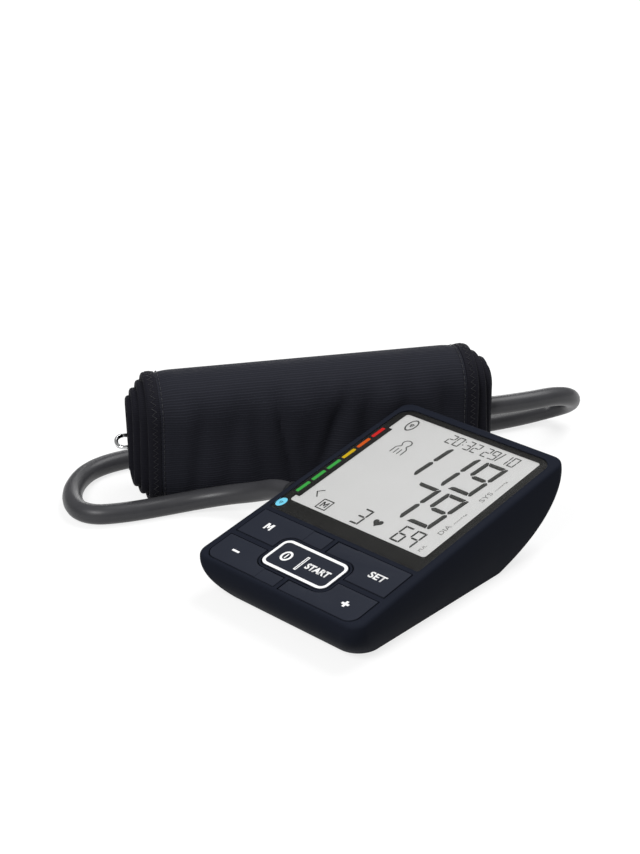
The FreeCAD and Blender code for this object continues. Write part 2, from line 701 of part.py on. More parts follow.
def make_display_lens():
    half_width = LENS_WIDTH / 2
    return on_slope(plate(
        -half_width, half_width, LENS_FRONT, LENS_BACK, -LENS_THICKNESS, 0, LENS_FRONT_RADIUS, LENS_BACK_RADIUS))


def view_opening(low, high):
    """The clear view in the printed border, notched on the left where the colour scale is printed."""
    half_width = VIEW_WIDTH / 2
    view = plate(
        VIEW_SHIFT - half_width, VIEW_SHIFT + half_width, VIEW_FRONT, VIEW_FRONT + VIEW_LENGTH, low, high,
        VIEW_CORNER_RADIUS, VIEW_CORNER_RADIUS)
    strip = box(
        -LENS_WIDTH, VIEW_SHIFT - half_width + SCALE_STRIP_DEPTH,
        SCALE_STRIP_FRONT, SCALE_STRIP_FRONT + SCALE_STRIP_LENGTH, low, high)
    return view.cut(strip)


def make_lens_mask():
    half_width = LENS_WIDTH / 2
    low = -LENS_THICKNESS - MASK_THICKNESS
    border = plate(
        -half_width, half_width, LENS_FRONT, LENS_BACK, low, -LENS_THICKNESS, LENS_FRONT_RADIUS, LENS_BACK_RADIUS)
    return on_slope(border.cut(view_opening(low, -LENS_THICKNESS)))


def make_lens_gasket():
    half_width = LENS_WIDTH / 2
    low = -LENS_SEAT
    high = low + GASKET_THICKNESS
    ring = plate(
        -half_width, half_width, LENS_FRONT, LENS_BACK, low, high, LENS_FRONT_RADIUS, LENS_BACK_RADIUS)
    return on_slope(ring.cut(lens_opening()))


def lcd_block(grow, low, high):
    half_width = VIEW_WIDTH / 2 + LCD_MARGIN + grow
    return box(
        VIEW_SHIFT - half_width, VIEW_SHIFT + half_width,
        VIEW_FRONT - LCD_MARGIN - grow, VIEW_FRONT + VIEW_LENGTH + LCD_MARGIN + grow, low, high)


def make_lcd_panel():
    return on_slope(lcd_block(0, -LCD_BACK, -LENS_SEAT))


def connector_strip(grow):
    front = VIEW_FRONT - LCD_MARGIN + CONNECTOR_DEPTH / 2
    half_width = BOARD_HALF_WIDTH - CONNECTOR_INSET + grow
    return box(-half_width, half_width, front - grow, front + CONNECTOR_DEPTH + grow, -BOARD_DEPTH, -LCD_BACK)


def make_lcd_frame():
    """A tray round the LCD's edges and back, on two bars that stand on the main board."""
    low = -LCD_BACK - LCD_FRAME_BACK
    tray = lcd_block(LCD_CLEARANCE + LCD_FRAME_WALL, low, -LENS_SEAT)
    tray = tray.cut(lcd_block(LCD_CLEARANCE, -LCD_BACK, 0))
    bars = []
    for start in LCD_BAR_PLACES:
        bars.append(box(-BOARD_HALF_WIDTH, BOARD_HALF_WIDTH, start, start + LCD_BAR, -BOARD_DEPTH, low))
    return on_slope(fuse([tray] + bars).cut(connector_strip(LCD_CLEARANCE)))


def make_lcd_connector():
    return on_slope(connector_strip(0))


# Keys and board

def key_step():
    """The shallow step in the strips above and below the start key."""
    return box(
        -KEY_STEP_HALF_WIDTH, KEY_STEP_HALF_WIDTH, 0, LENS_FRONT, KEY_PROUD - KEY_STEP_DEPTH, KEY_PROUD)


def make_corner_key(side, row):
    cap = corner_key_prism(side, row, KEY_GAP).cut(key_step())
    tab_top = KEY_TAB_THICKNESS - KEY_BOTTOM
    near = KEY_ROW_MIDDLE + row * (ROW_RIB / 2 + KEY_GAP)
    row_ends = sorted((near - row * KEY_TAB_REACH, near + row * KEY_TAB_REACH))
    outer = START_WIDTH / 2 + KEY_FIELD_FRONT_RADIUS
    row_span = sorted((side * outer, side * (KEY_FIELD_HALF_WIDTH - ROW_TAB_END_GAP)))
    row_tab = box(row_span[0], row_span[1], row_ends[0], row_ends[1], -KEY_BOTTOM, tab_top)
    inner = COLUMN_RIB / 2 + KEY_GAP
    column_ends = sorted((side * (inner - KEY_TAB_REACH), side * (inner + KEY_TAB_REACH)))
    edge = KEY_FIELD_BACK if row > 0 else KEY_FIELD_FRONT
    column_end = edge - row * COLUMN_TAB_INSET
    column_span = sorted((column_end, column_end - row * COLUMN_TAB_LENGTH))
    column_tab = box(
        column_ends[0], column_ends[1], column_span[0], column_span[1], -KEY_BOTTOM, tab_top)
    return on_slope(fuse([cap, row_tab, column_tab]))


def make_start_key():
    return on_slope(start_opening(0))


def make_keypad_mat():
    top = -BOARD_DEPTH + MAT_THICKNESS
    half_width = BOARD_HALF_WIDTH - MAT_THICKNESS
    pieces = [plate(
        -half_width, half_width, MAT_FRONT, MAT_BACK, -BOARD_DEPTH, top, MAT_DOME_RADIUS, MAT_DOME_RADIUS)]
    row_offset = (KEY_FIELD_BACK - KEY_FIELD_FRONT) / 4
    column_offset = START_WIDTH / 2 + 2 * MAT_DOME_RADIUS
    places = [(0, KEY_ROW_MIDDLE)]
    for side in (-1, 1):
        for row in (-1, 1):
            places.append((side * column_offset, KEY_ROW_MIDDLE + row * row_offset))
    for x, y in places:
        pieces.append(rod(MAT_DOME_RADIUS, (x, y, top), (x, y, top + MAT_DOME_HEIGHT)))
    return on_slope(fuse(pieces))


def make_main_board():
    board = box(
        -BOARD_HALF_WIDTH, BOARD_HALF_WIDTH, BOARD_FRONT, BOARD_BACK, -BOARD_DEPTH - BOARD_THICKNESS, -BOARD_DEPTH)
    for x, y in mirrored_places(BOARD_POST_PLACE):
        board = board.cut(rod(
            BOARD_SCREW_RADIUS + SCREW_CLEARANCE,
            (x, y, -BOARD_DEPTH - BOARD_THICKNESS), (x, y, -BOARD_DEPTH)))
    return on_slope(board)


def make_board_screws():
    screws = []
    under = -BOARD_DEPTH - BOARD_THICKNESS
    for x, y in mirrored_places(BOARD_POST_PLACE):
        head = rod(BOARD_SCREW_HEAD_RADIUS, (x, y, under - BOARD_SCREW_HEAD_HEIGHT), (x, y, under))
        shank = rod(BOARD_SCREW_RADIUS - SCREW_CLEARANCE, (x, y, under), (x, y, under + BOARD_SCREW_LENGTH - BOARD_SCREW_TIP_GAP))
        screws.append(on_slope(fuse([head, shank])))
    return Part.makeCompound(screws)


def under_board(place, width, length, height):
    """A block on the board's lower face."""
    x, y = place
    under = -BOARD_DEPTH - BOARD_THICKNESS
    return box(x - width / 2, x + width / 2, y - length / 2, y + length / 2, under - height, under)


def make_radio_module():
    return on_slope(under_board(RADIO_PLACE, RADIO_WIDTH, RADIO_LENGTH, RADIO_HEIGHT))


def make_controller_chip():
    return on_slope(under_board(CHIP_PLACE, CHIP_SIZE, CHIP_SIZE, CHIP_HEIGHT))


def sensor_nipple_ends():
    """Where the sensor's nipple leaves its back face, and its tip, in the monitor's frame."""
    x, y = SENSOR_PLACE
    level = -BOARD_DEPTH - BOARD_THICKNESS - SENSOR_HEIGHT / 2
    root = SLOPE.multVec(Vector(x, y + SENSOR_SIZE / 2, level))
    tip = SLOPE.multVec(Vector(x, y + SENSOR_SIZE / 2 + NIPPLE_LENGTH, level))
    return root, tip


def make_pressure_sensor():
    root, tip = sensor_nipple_ends()
    inside = root - (tip - root) * (SENSOR_NIPPLE_ROOT / NIPPLE_LENGTH)
    body = on_slope(under_board(SENSOR_PLACE, SENSOR_SIZE, SENSOR_SIZE, SENSOR_HEIGHT))
    return fuse([body, rod(SENSOR_TUBE_BORE, inside, tip)])


# Battery compartment

def cell_places():
    first = -(CELL_COUNT - 1) * CELL_PITCH / 2
    return [first + index * CELL_PITCH for index in range(CELL_COUNT)]


def make_battery_cells():
    """Cells side by side with their poles turned about in turn."""
    cells = []
    for index, x in enumerate(cell_places()):
        front = CELL_FRONT
        back = CELL_FRONT + CELL_LENGTH
        if index % 2:
            body = rod(CELL_RADIUS, (x, front, CELL_Z), (x, back - CELL_NUB_HEIGHT, CELL_Z))
            nub = rod(CELL_NUB_RADIUS, (x, back - CELL_NUB_HEIGHT, CELL_Z), (x, back, CELL_Z))
        else:
            body = rod(CELL_RADIUS, (x, front + CELL_NUB_HEIGHT, CELL_Z), (x, back, CELL_Z))
            nub = rod(CELL_NUB_RADIUS, (x, front, CELL_Z), (x, front + CELL_NUB_HEIGHT, CELL_Z))
        cells.append(fuse([body, nub]))
    return Part.makeCompound(cells)


def make_battery_contacts():
    """A plate with a sprung bump at each end of each cell."""
    contacts = []
    half = CONTACT_SIZE / 2
    for x in cell_places():
        for wall, inward in ((CELL_BAY_FRONT, 1), (CELL_BAY_BACK, -1)):
            face = wall + inward * CONTACT_THICKNESS
            near, far = sorted((wall, face))
            sheet = box(x - half, x + half, near, far, CELL_Z - half, CELL_Z + half)
            bump = rod(CONTACT_BUMP_RADIUS, (x, face, CELL_Z), (x, face + inward * CONTACT_BUMP_HEIGHT, CELL_Z))
            contacts.append(fuse([sheet, bump]))
    return Part.makeCompound(contacts)


def make_battery_door():
    """A plate with a hinge barrel and pins along its front edge and a latch tongue at its back."""
    half_width = TRAY_HALF_WIDTH - DOOR_GAP
    back = TRAY_BACK - DOOR_GAP
    panel = box(-half_width, half_width, HINGE_Y, back, FOOT_HEIGHT, DOOR_TOP)
    barrel = rod(HINGE_BARREL_RADIUS, (-half_width, HINGE_Y, HINGE_Z), (half_width, HINGE_Y, HINGE_Z))
    pin_half = half_width + HINGE_PIN_LENGTH
    pins = rod(HINGE_PIN_RADIUS, (-pin_half, HINGE_Y, HINGE_Z), (pin_half, HINGE_Y, HINGE_Z))
    latch_front = CELL_BAY_BACK + PARTITION + DOOR_GAP
    latch = box(
        -LATCH_WIDTH / 2, LATCH_WIDTH / 2, latch_front, latch_front + LATCH_THICKNESS,
        DOOR_TOP, DOOR_TOP + LATCH_HEIGHT)
    return fuse([panel, barrel, pins, latch])


# Pump, valve and inner tubes

def pump_rod(radius, left, right):
    return rod(radius, (left, PUMP_Y, PUMP_Z), (right, PUMP_Y, PUMP_Z))


def make_pump_motor():
    can = pump_rod(PUMP_RADIUS, MOTOR_LEFT, MOTOR_RIGHT)
    bore = pump_rod(SHAFT_RADIUS + SHAFT_CLEARANCE, MOTOR_LEFT, MOTOR_LEFT + SHAFT_IN_MOTOR + SHAFT_END_GAP)
    cap = pump_rod(PUMP_RADIUS / 2, MOTOR_RIGHT, MOTOR_RIGHT + HEAD_WALL)
    return fuse([can, cap]).cut(bore)


def make_pump_head():
    shell = pump_rod(PUMP_RADIUS, HEAD_LEFT, MOTOR_LEFT)
    shell = shell.cut(pump_rod(PUMP_RADIUS - HEAD_WALL, HEAD_LEFT + HEAD_WALL, MOTOR_LEFT))
    nipple = rod(TUBE_BORE, (HEAD_LEFT, OUTLET_Y, TUBE_LINE_Z), (HEAD_LEFT - NIPPLE_LENGTH, OUTLET_Y, TUBE_LINE_Z))
    return fuse([shell, nipple])


def make_pump_diaphragm():
    left = HEAD_LEFT + HEAD_WALL
    return pump_rod(PUMP_RADIUS - HEAD_WALL, left, left + DIAPHRAGM_THICKNESS)


def make_pump_crank():
    """The motor's shaft with a disc and an off-centre pin that works the diaphragm."""
    disc_right = MOTOR_LEFT - SHAFT_OUT
    disc_left = disc_right - CRANK_THICKNESS
    shaft = pump_rod(SHAFT_RADIUS, disc_right, MOTOR_LEFT + SHAFT_IN_MOTOR)
    disc = pump_rod(CRANK_RADIUS, disc_left, disc_right)
    pin_z = PUMP_Z + CRANK_OFFSET
    pin = rod(CRANK_PIN_RADIUS, (disc_left, PUMP_Y, pin_z), (disc_left - CRANK_PIN_LENGTH, PUMP_Y, pin_z))
    return fuse([shaft, disc, pin])


def make_pump_sleeve():
    left = MOTOR_LEFT + (MOTOR_LENGTH - SLEEVE_LENGTH) / 2
    right = left + SLEEVE_LENGTH
    return pump_rod(PUMP_RADIUS + SLEEVE_THICKNESS, left, right).cut(pump_rod(PUMP_RADIUS, left, right))


def sensor_barb_root():
    return Vector(MANIFOLD_RIGHT, MANIFOLD_FRONT + SENSOR_TUBE_RADIUS, MANIFOLD_TOP - SENSOR_TUBE_RADIUS)


def make_air_manifold():
    left = MANIFOLD_RIGHT - MANIFOLD_WIDTH
    block = box(
        left, MANIFOLD_RIGHT, MANIFOLD_FRONT, MANIFOLD_FRONT + MANIFOLD_LENGTH,
        MANIFOLD_TOP - MANIFOLD_HEIGHT, MANIFOLD_TOP)
    to_pump = rod(
        TUBE_BORE, (MANIFOLD_RIGHT, OUTLET_Y, TUBE_LINE_Z), (MANIFOLD_RIGHT + NIPPLE_LENGTH, OUTLET_Y, TUBE_LINE_Z))
    to_socket = rod(
        TUBE_BORE, (TUBE_LINE_X, MANIFOLD_FRONT, TUBE_LINE_Z),
        (TUBE_LINE_X, MANIFOLD_FRONT - NIPPLE_LENGTH, TUBE_LINE_Z))
    root = sensor_barb_root()
    to_sensor = rod(SENSOR_TUBE_BORE, root, root + Vector(NIPPLE_LENGTH, 0, 0))
    return fuse([block, to_pump, to_socket, to_sensor])


def make_pump_tube():
    ends = ((MANIFOLD_RIGHT, OUTLET_Y, TUBE_LINE_Z), (HEAD_LEFT, OUTLET_Y, TUBE_LINE_Z))
    return rod(TUBE_RADIUS, *ends).cut(rod(TUBE_BORE, *ends))


def make_socket_tube():
    ends = ((TUBE_LINE_X, SOCKET_Y + SOCKET_RADIUS, TUBE_LINE_Z), (TUBE_LINE_X, MANIFOLD_FRONT, TUBE_LINE_Z))
    return rod(TUBE_RADIUS, *ends).cut(rod(TUBE_BORE, *ends))


def make_sensor_tube():
    root, tip = sensor_nipple_ends()
    start = sensor_barb_root()
    out = start + Vector(NIPPLE_LENGTH + SENSOR_TUBE_RADIUS, 0, 0)
    before = tip + (tip - root) * (SENSOR_TUBE_LEAD / NIPPLE_LENGTH)
    hollow, path, radii = tube([start, out, before, root], SENSOR_TUBE_RADIUS, SENSOR_TUBE_BORE)
    return hollow


def valve_middle():
    return MANIFOLD_RIGHT - MANIFOLD_WIDTH / 2, MANIFOLD_FRONT + MANIFOLD_LENGTH / 2


def make_exhaust_valve():
    x, y = valve_middle()
    half = VALVE_SIZE / 2
    body = box(x - half, x + half, y - half, y + half, MANIFOLD_TOP, MANIFOLD_TOP + VALVE_HEIGHT)
    bore = rod(VALVE_BORE, (x, y, MANIFOLD_TOP + VALVE_SEAT), (x, y, MANIFOLD_TOP + VALVE_HEIGHT))
    return body.cut(bore)


def make_valve_plunger():
    x, y = valve_middle()
    low = MANIFOLD_TOP + VALVE_SEAT + PLUG_FACE_GAP
    return rod(PLUNGER_RADIUS, (x, y, low), (x, y, low + PLUNGER_LENGTH))


# Air socket and hose plug

def side_rod(radius, x0, x1):
    return rod(radius, (x0, SOCKET_Y, SOCKET_Z), (x1, SOCKET_Y, SOCKET_Z))


def make_air_socket():
    inner_x = SOCKET_OUTER_X + SOCKET_LENGTH
    barrel = side_rod(SOCKET_RADIUS, SOCKET_OUTER_X, inner_x)
    elbow = rod(
        TUBE_BORE, (TUBE_LINE_X, SOCKET_Y, TUBE_LINE_Z),
        (TUBE_LINE_X, SOCKET_Y + SOCKET_RADIUS + NIPPLE_LENGTH, TUBE_LINE_Z))
    return fuse([barrel, elbow]).cut(side_rod(SOCKET_BORE, SOCKET_OUTER_X, inner_x - SOCKET_END_WALL))


def make_hose_plug():
    """A stem for the socket, a ribbed grip, and a barb for the hose."""
    face_x = SOCKET_OUTER_X - PLUG_FACE_GAP
    grip = side_rod(PLUG_COLLAR_RADIUS, PLUG_BACK_X, face_x)
    grip = grip.makeFillet(PLUG_EDGE_RADIUS, [edge for edge in grip.Edges if len(edge.Vertexes) == 1])
    for index in range(PLUG_GROOVES):
        x = PLUG_BACK_X + PLUG_GROOVE_START + index * PLUG_GROOVE_STEP
        ring = side_rod(PLUG_COLLAR_RADIUS + PLUG_GROOVE_DEPTH, x, x + PLUG_GROOVE_WIDTH)
        ring = ring.cut(side_rod(PLUG_COLLAR_RADIUS - PLUG_GROOVE_DEPTH, x, x + PLUG_GROOVE_WIDTH))
        grip = grip.cut(ring)
    stem = side_rod(SOCKET_BORE - PLUG_FIT, face_x, SOCKET_OUTER_X + PLUG_STEM_LENGTH)
    barb = side_rod(HOSE_BORE - BARB_CLEARANCE, PLUG_BACK_X, PLUG_BACK_X - HOSE_BARB_LENGTH)
    return fuse([grip, stem, barb])


def hose_points():
    """The whole route, from the cuff port to the plug."""
    roll_end = Vector(CUFF_WIDTH, 0, 0)
    points = [Vector(along, ROLL_MIDDLE, PORT_HEIGHT) for along in HOSE_FIRST_RUN]
    points += [Vector(along, back, PORT_HEIGHT + rise) for along, back, rise in ROUTE_OFF_PORT]
    points += [Vector(*point) for point in ROUTE_BY_ROLL]
    points = [ROLL.multVec(point + roll_end) for point in points]
    points += [Vector(SOCKET_OUTER_X + x, SOCKET_Y + y, z) for x, y, z in ROUTE_TO_SOCKET]
    points.append(Vector(PLUG_BACK_X - HOSE_LAST_RUN, SOCKET_Y, SOCKET_Z))
    points.append(Vector(PLUG_BACK_X, SOCKET_Y, SOCKET_Z))
    return points


def make_air_hose():
    points = hose_points()
    hollow, path, radii = tube(points, HOSE_RADIUS, HOSE_BORE)
    section = math.pi * (HOSE_RADIUS ** 2 - HOSE_BORE ** 2)
    print("hose bend radii:", [round(radius, 1) for radius in radii])
    print("hose length:", round(path.Length, 1))
    print("hose volume over section times length:", round(hollow.Volume / (section * path.Length), 4))
    return hollow


# Rolled cuff

def roll_line(offset, first, last, tail):
    """The cuff's layer line at an offset from its middle: half turns joined by upright straight stretches."""
    edges = []
    inner = ROLL_OUTER_RADIUS - (CUFF_HALF_TURNS - 1) * ROLL_STEP + offset
    last_point = None
    for index in range(first, last + 1):
        radius = inner + (index - 1) * ROLL_STEP
        side = -1 if index % 2 else 1
        centre = -side * ROLL_MIDDLE
        level = ROLL_TOP_Z if index % 2 else ROLL_BOTTOM_Z
        other = ROLL_BOTTOM_Z if index % 2 else ROLL_TOP_Z
        start = Vector(0, centre + side * radius, level)
        crest = Vector(0, centre, level - side * radius)
        end = Vector(0, centre - side * radius, level)
        edges.append(Part.LineSegment(last_point or Vector(0, start.y, other), start).toShape())
        edges.append(Part.Arc(start, crest, end).toShape())
        last_point = end
    if tail > 0:
        edges.append(Part.LineSegment(last_point, last_point - Vector(0, 0, tail)).toShape())
    return edges


def roll_strip(low, high, first, last, tail):
    """A rolled layer between two offsets, as long as the widest part of the roll."""
    inside = roll_line(low, first, last, tail)
    outside = roll_line(high, first, last, tail)
    ends = []
    for index in (0, -1):
        a = Part.Wire(inside).OrderedVertexes[index].Point
        b = Part.Wire(outside).OrderedVertexes[index].Point
        ends.append(Part.LineSegment(a, b).toShape())
    face = Part.Face(Part.Wire(Part.__sortEdges__(inside + outside + ends)))
    face.translate(Vector(-CUFF_TELESCOPE, 0, 0))
    return face.extrude(Vector(CUFF_WIDTH + 2 * CUFF_TELESCOPE, 0, 0))


def racetrack(x, radius):
    """A closed wire of two round ends and two upright sides, across the roll."""
    edges = []
    points = []
    for level, start in ((ROLL_TOP_Z, 0), (ROLL_BOTTOM_Z, 180)):
        for quarter in (0, 90):
            arc = []
            for turn in (0, 45, 90):
                angle = math.radians(start + quarter + turn)
                arc.append(Vector(x, radius * math.cos(angle), level + radius * math.sin(angle)))
            if points and quarter == 0:
                edges.append(Part.LineSegment(points[-1], arc[0]).toShape())
            edges.append(Part.Arc(*arc).toShape())
            points += [arc[0], arc[2]]
    edges.append(Part.LineSegment(points[-1], points[0]).toShape())
    return Part.Wire(edges)


def roll_envelope(trim):
    """The space the roll fills: its inner turns stand out at both ends."""
    outer = CUFF_DEPTH / 2 + CUFF_PITCH
    inner = ROLL_CORE / 2
    wires = [
        racetrack(trim - CUFF_TELESCOPE, inner),
        racetrack(trim, outer),
        racetrack(CUFF_WIDTH - trim, outer),
        racetrack(CUFF_WIDTH + CUFF_TELESCOPE - trim, inner),
    ]
    return Part.makeLoft(wires, True, True)


def make_cuff_layer(low, high, first, last, tail):
    return in_roll(roll_strip(low, high, first, last, tail).common(roll_envelope(CUFF_BINDING)))


def make_cuff_edge_binding():
    """The sewn bands along both edges of the sleeve."""
    half = CUFF_HALF_THICKNESS
    sleeve = roll_strip(-half, half, 1, CUFF_HALF_TURNS, CUFF_TAIL)
    return in_roll(sleeve.common(roll_envelope(0)).cut(roll_envelope(CUFF_BINDING)))


def make_hook_pad():
    face = ROLL_MIDDLE + ROLL_OUTER_RADIUS + CUFF_HALF_THICKNESS
    top = ROLL_TOP_Z - CUFF_BINDING / 4
    return in_roll(box(
        HOOK_MARGIN, CUFF_WIDTH - HOOK_MARGIN, face, face + HOOK_THICKNESS, top - HOOK_LENGTH, top))


def make_d_ring():
    """A long wire loop that lies slanted in the middle of the roll, with one end out of it."""
    half_width = RING_WIDTH / 2 - RING_WIRE_RADIUS
    spread = ROLL_CORE - RING_CLEARANCE - RING_WIRE_RADIUS
    lean = math.degrees(math.asin(min(1.0, spread / half_width)))
    left = -CUFF_TELESCOPE - RING_OUT + RING_WIRE_RADIUS
    right = left + RING_LENGTH - 2 * RING_WIRE_RADIUS
    wire = outline(left, right, -half_width, half_width, RING_BEND_RADIUS, RING_BEND_RADIUS)
    start = wire.OrderedVertexes[0].Point
    ring = Part.Wire([Part.makeCircle(RING_WIRE_RADIUS, start, wire.OrderedEdges[0].tangentAt(0))])
    loop = wire.makePipeShell([ring], True, False)
    stand = FreeCAD.Rotation(Vector(1, 0, 0), 90 - lean)
    middle = Vector(0, ROLL_MIDDLE, RING_HEIGHT)
    return in_roll(placed(loop, FreeCAD.Placement(middle, stand)))


def make_cuff_port():
    """A barrel for the hose on a flange that is bonded to the sleeve's inner end."""
    hose_start = CUFF_WIDTH + HOSE_FIRST_RUN[0]
    inner_end = (hose_start - PORT_LENGTH, ROLL_MIDDLE, PORT_HEIGHT)
    shoulder = (hose_start, ROLL_MIDDLE, PORT_HEIGHT)
    tip = (hose_start + HOSE_BARB_LENGTH, ROLL_MIDDLE, PORT_HEIGHT)
    barrel = rod(PORT_RADIUS, inner_end, shoulder)
    barb = rod(HOSE_BORE - BARB_CLEARANCE, shoulder, tip)
    face = ROLL_MIDDLE - ROLL_CORE
    half = PORT_FLANGE_HEIGHT / 2
    flange = box(
        hose_start - PORT_LENGTH, hose_start, face, face + PORT_FLANGE_THICKNESS,
        PORT_HEIGHT - half, PORT_HEIGHT + half)
    web = box(
        hose_start - PORT_LENGTH, hose_start, face, ROLL_MIDDLE,
        PORT_HEIGHT - PORT_RADIUS / 2, PORT_HEIGHT + PORT_RADIUS / 2)
    return in_roll(fuse([barrel, barb, flange, web]))


def make_all():
    """Every piece under its name, and the names of the pieces of the hose line."""
    form = rounded_hull()
    shell = form.cut(hull(WALL, FLOOR, DECK))
    half = CUFF_HALF_THICKNESS
    filling = CUFF_FILLING / 2
    turns = CUFF_HALF_TURNS
    pieces = {
        "top_housing": make_top_housing(shell, form),
        "bottom_housing": make_bottom_housing(shell, form),
        "rubber_feet": make_rubber_feet(),
        "housing_screws": make_housing_screws(),
        "display_lens": make_display_lens(),
        "lens_mask": make_lens_mask(),
        "lens_gasket": make_lens_gasket(),
        "lcd_panel": make_lcd_panel(),
        "lcd_frame": make_lcd_frame(),
        "lcd_connector": make_lcd_connector(),
        "start_key": make_start_key(),
        "memory_key": make_corner_key(-1, 1),
        "minus_key": make_corner_key(-1, -1),
        "set_key": make_corner_key(1, 1),
        "plus_key": make_corner_key(1, -1),
        "keypad_mat": make_keypad_mat(),
        "main_board": make_main_board(),
        "board_screws": make_board_screws(),
        "radio_module": make_radio_module(),
        "controller_chip": make_controller_chip(),
        "pressure_sensor": make_pressure_sensor(),
        "battery_cells": make_battery_cells(),
        "battery_contacts": make_battery_contacts(),
        "battery_door": make_battery_door(),
        "pump_motor": make_pump_motor(),
        "pump_head": make_pump_head(),
        "pump_diaphragm": make_pump_diaphragm(),
        "pump_crank": make_pump_crank(),
        "pump_sleeve": make_pump_sleeve(),
        "air_manifold": make_air_manifold(),
        "pump_tube": make_pump_tube(),
        "socket_tube": make_socket_tube(),
        "sensor_tube": make_sensor_tube(),
        "exhaust_valve": make_exhaust_valve(),
        "valve_plunger": make_valve_plunger(),
        "air_socket": make_air_socket(),
        "hose_plug": make_hose_plug(),
        "air_hose": make_air_hose(),
        "cuff_outer_fabric": make_cuff_layer(filling, half, 1, turns, CUFF_TAIL),
        "cuff_lining": make_cuff_layer(-half, -filling, 1, turns, CUFF_TAIL),
        "cuff_bladder": make_cuff_layer(-filling, filling, 1, BLADDER_HALF_TURNS, 0),
        "cuff_padding": make_cuff_layer(-filling, filling, BLADDER_HALF_TURNS + 1, turns, CUFF_TAIL),
        "cuff_edge_binding": make_cuff_edge_binding(),
        "hook_pad": make_hook_pad(),
        "d_ring": make_d_ring(),
        "cuff_port": make_cuff_port(),
    }
    return pieces, ("hose_plug", "air_hose")


def main():
    pieces, hose_line = make_all()
    reach = FreeCAD.BoundBox()
    for name, shape in pieces.items():
        if name not in hose_line:
            reach.add(shape.optimalBoundingBox(False, False))
    centre = Vector(-(reach.XMin + reach.XMax) / 2, -(reach.YMin + reach.YMax) / 2, -reach.ZMin)
    print("shift to the common origin:", [round(value, 6) for value in centre])
    os.makedirs("parts", exist_ok=True)
    for name, shape in pieces.items():
        moved = placed(shape, FreeCAD.Placement(centre, FreeCAD.Rotation()))
        print(name, "solids", len(moved.Solids), "volume", round(moved.Volume, 1), "valid", moved.isValid())
        moved.exportStep("parts/" + name + ".step")


main()
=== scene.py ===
import math
from collections import namedtuple

import bmesh
import bpy
from mathutils import Matrix, Vector


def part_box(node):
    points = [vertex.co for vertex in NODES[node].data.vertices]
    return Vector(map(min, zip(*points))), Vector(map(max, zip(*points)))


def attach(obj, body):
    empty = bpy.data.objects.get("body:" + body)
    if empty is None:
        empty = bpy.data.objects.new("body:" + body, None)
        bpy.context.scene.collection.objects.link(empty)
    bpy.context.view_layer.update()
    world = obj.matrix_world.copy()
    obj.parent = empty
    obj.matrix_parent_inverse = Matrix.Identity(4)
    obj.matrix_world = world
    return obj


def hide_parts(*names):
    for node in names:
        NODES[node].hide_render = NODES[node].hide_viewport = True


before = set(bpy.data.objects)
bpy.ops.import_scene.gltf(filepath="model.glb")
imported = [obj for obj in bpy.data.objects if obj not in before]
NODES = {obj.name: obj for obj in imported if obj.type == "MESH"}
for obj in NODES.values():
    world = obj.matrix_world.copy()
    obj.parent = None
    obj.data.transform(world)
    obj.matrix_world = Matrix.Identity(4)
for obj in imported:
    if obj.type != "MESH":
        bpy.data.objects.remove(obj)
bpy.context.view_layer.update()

bl_info = {
    "name": "Upper arm blood pressure monitor",
    "version": (1, 0, 0),
    "blender": (4, 5, 0),
    "location": "3D view > Sidebar > Monitor",
    "description": "Dresses a blood pressure monitor, its air hose and its rolled cuff",
    "category": "Object",
}

MM = 0.001

# The monitor's own frame: X right, Y to the back from the front edge of the top, Z up
ORIGIN = Vector((52.41072, -101.146699, 0.0)) * MM
FRONT_HEIGHT = 22.0
BACK_HEIGHT = 46.72
TOP_LENGTH = 147.2
TILT = math.atan2(BACK_HEIGHT - FRONT_HEIGHT, TOP_LENGTH)
SLOPE = Matrix.Translation(ORIGIN + Vector((0, 0, FRONT_HEIGHT * MM))) @ Matrix.Rotation(TILT, 4, "X")

# Levels over the sloping top, and how thick print is and how far it stands out
KEY_TOP = 0.25
KEY_ROOT = -0.2
MASK_TOP = -0.6
LCD_TOP = -0.8
INK = 0.06
PRINT_RISE = 0.01

# How far the sides of a key lean in, and how far its upper edges are eased
KEY_DRAFT = 0.22
KEY_EASE = 0.4

# The rolled cuff's frame: X along the roll, Y to its back, Z up
ROLL_PLACE = Vector((-136.0, 52.9, 0.0)) * MM
ROLL_TURN = math.radians(55.4)
ROLL = Matrix.Translation(ORIGIN + ROLL_PLACE) @ Matrix.Rotation(ROLL_TURN, 4, "Z")

# The line of the roll: the centres and radii of its half turns, and where the outermost turn starts
ROLL_TOP = 45.55
ROLL_BOTTOM = 17.65
ROLL_MIDDLE = 0.9
ROLL_HEIGHT = 64.0
FIRST_RADIUS = 6.85
RADIUS_STEP = 1.8
HALF_TURNS = 7
OUTER_TURN = HALF_TURNS - 2.4
SEAM_TURN = HALF_TURNS - 2.3
FLOOR_GAP = 0.1

# Below 1, the underside of each turn sags towards a square corner
SAG = 0.66

# The straight end of the cloth at the back of the roll
TAIL = 22.0

# The sleeve: its edge lies inside the tape, its outer turn is slack at the front and its two ends taper
EDGE_IN_TAPE = 0.5
FRONT_SIDE = 0.4
SLACK = 0.9
SLACK_REACH = 8.0
END_TAPER = 3.0
END_SHARE = 0.35

# The hook patch on the back of the roll: its ends, its lower and upper edges, its face and its back
PATCH_ENDS = (22.0, 144.7)
PATCH_EDGES = (26.05, 44.05)
PATCH_FACE = 21.3
PATCH_BACK = 20.0

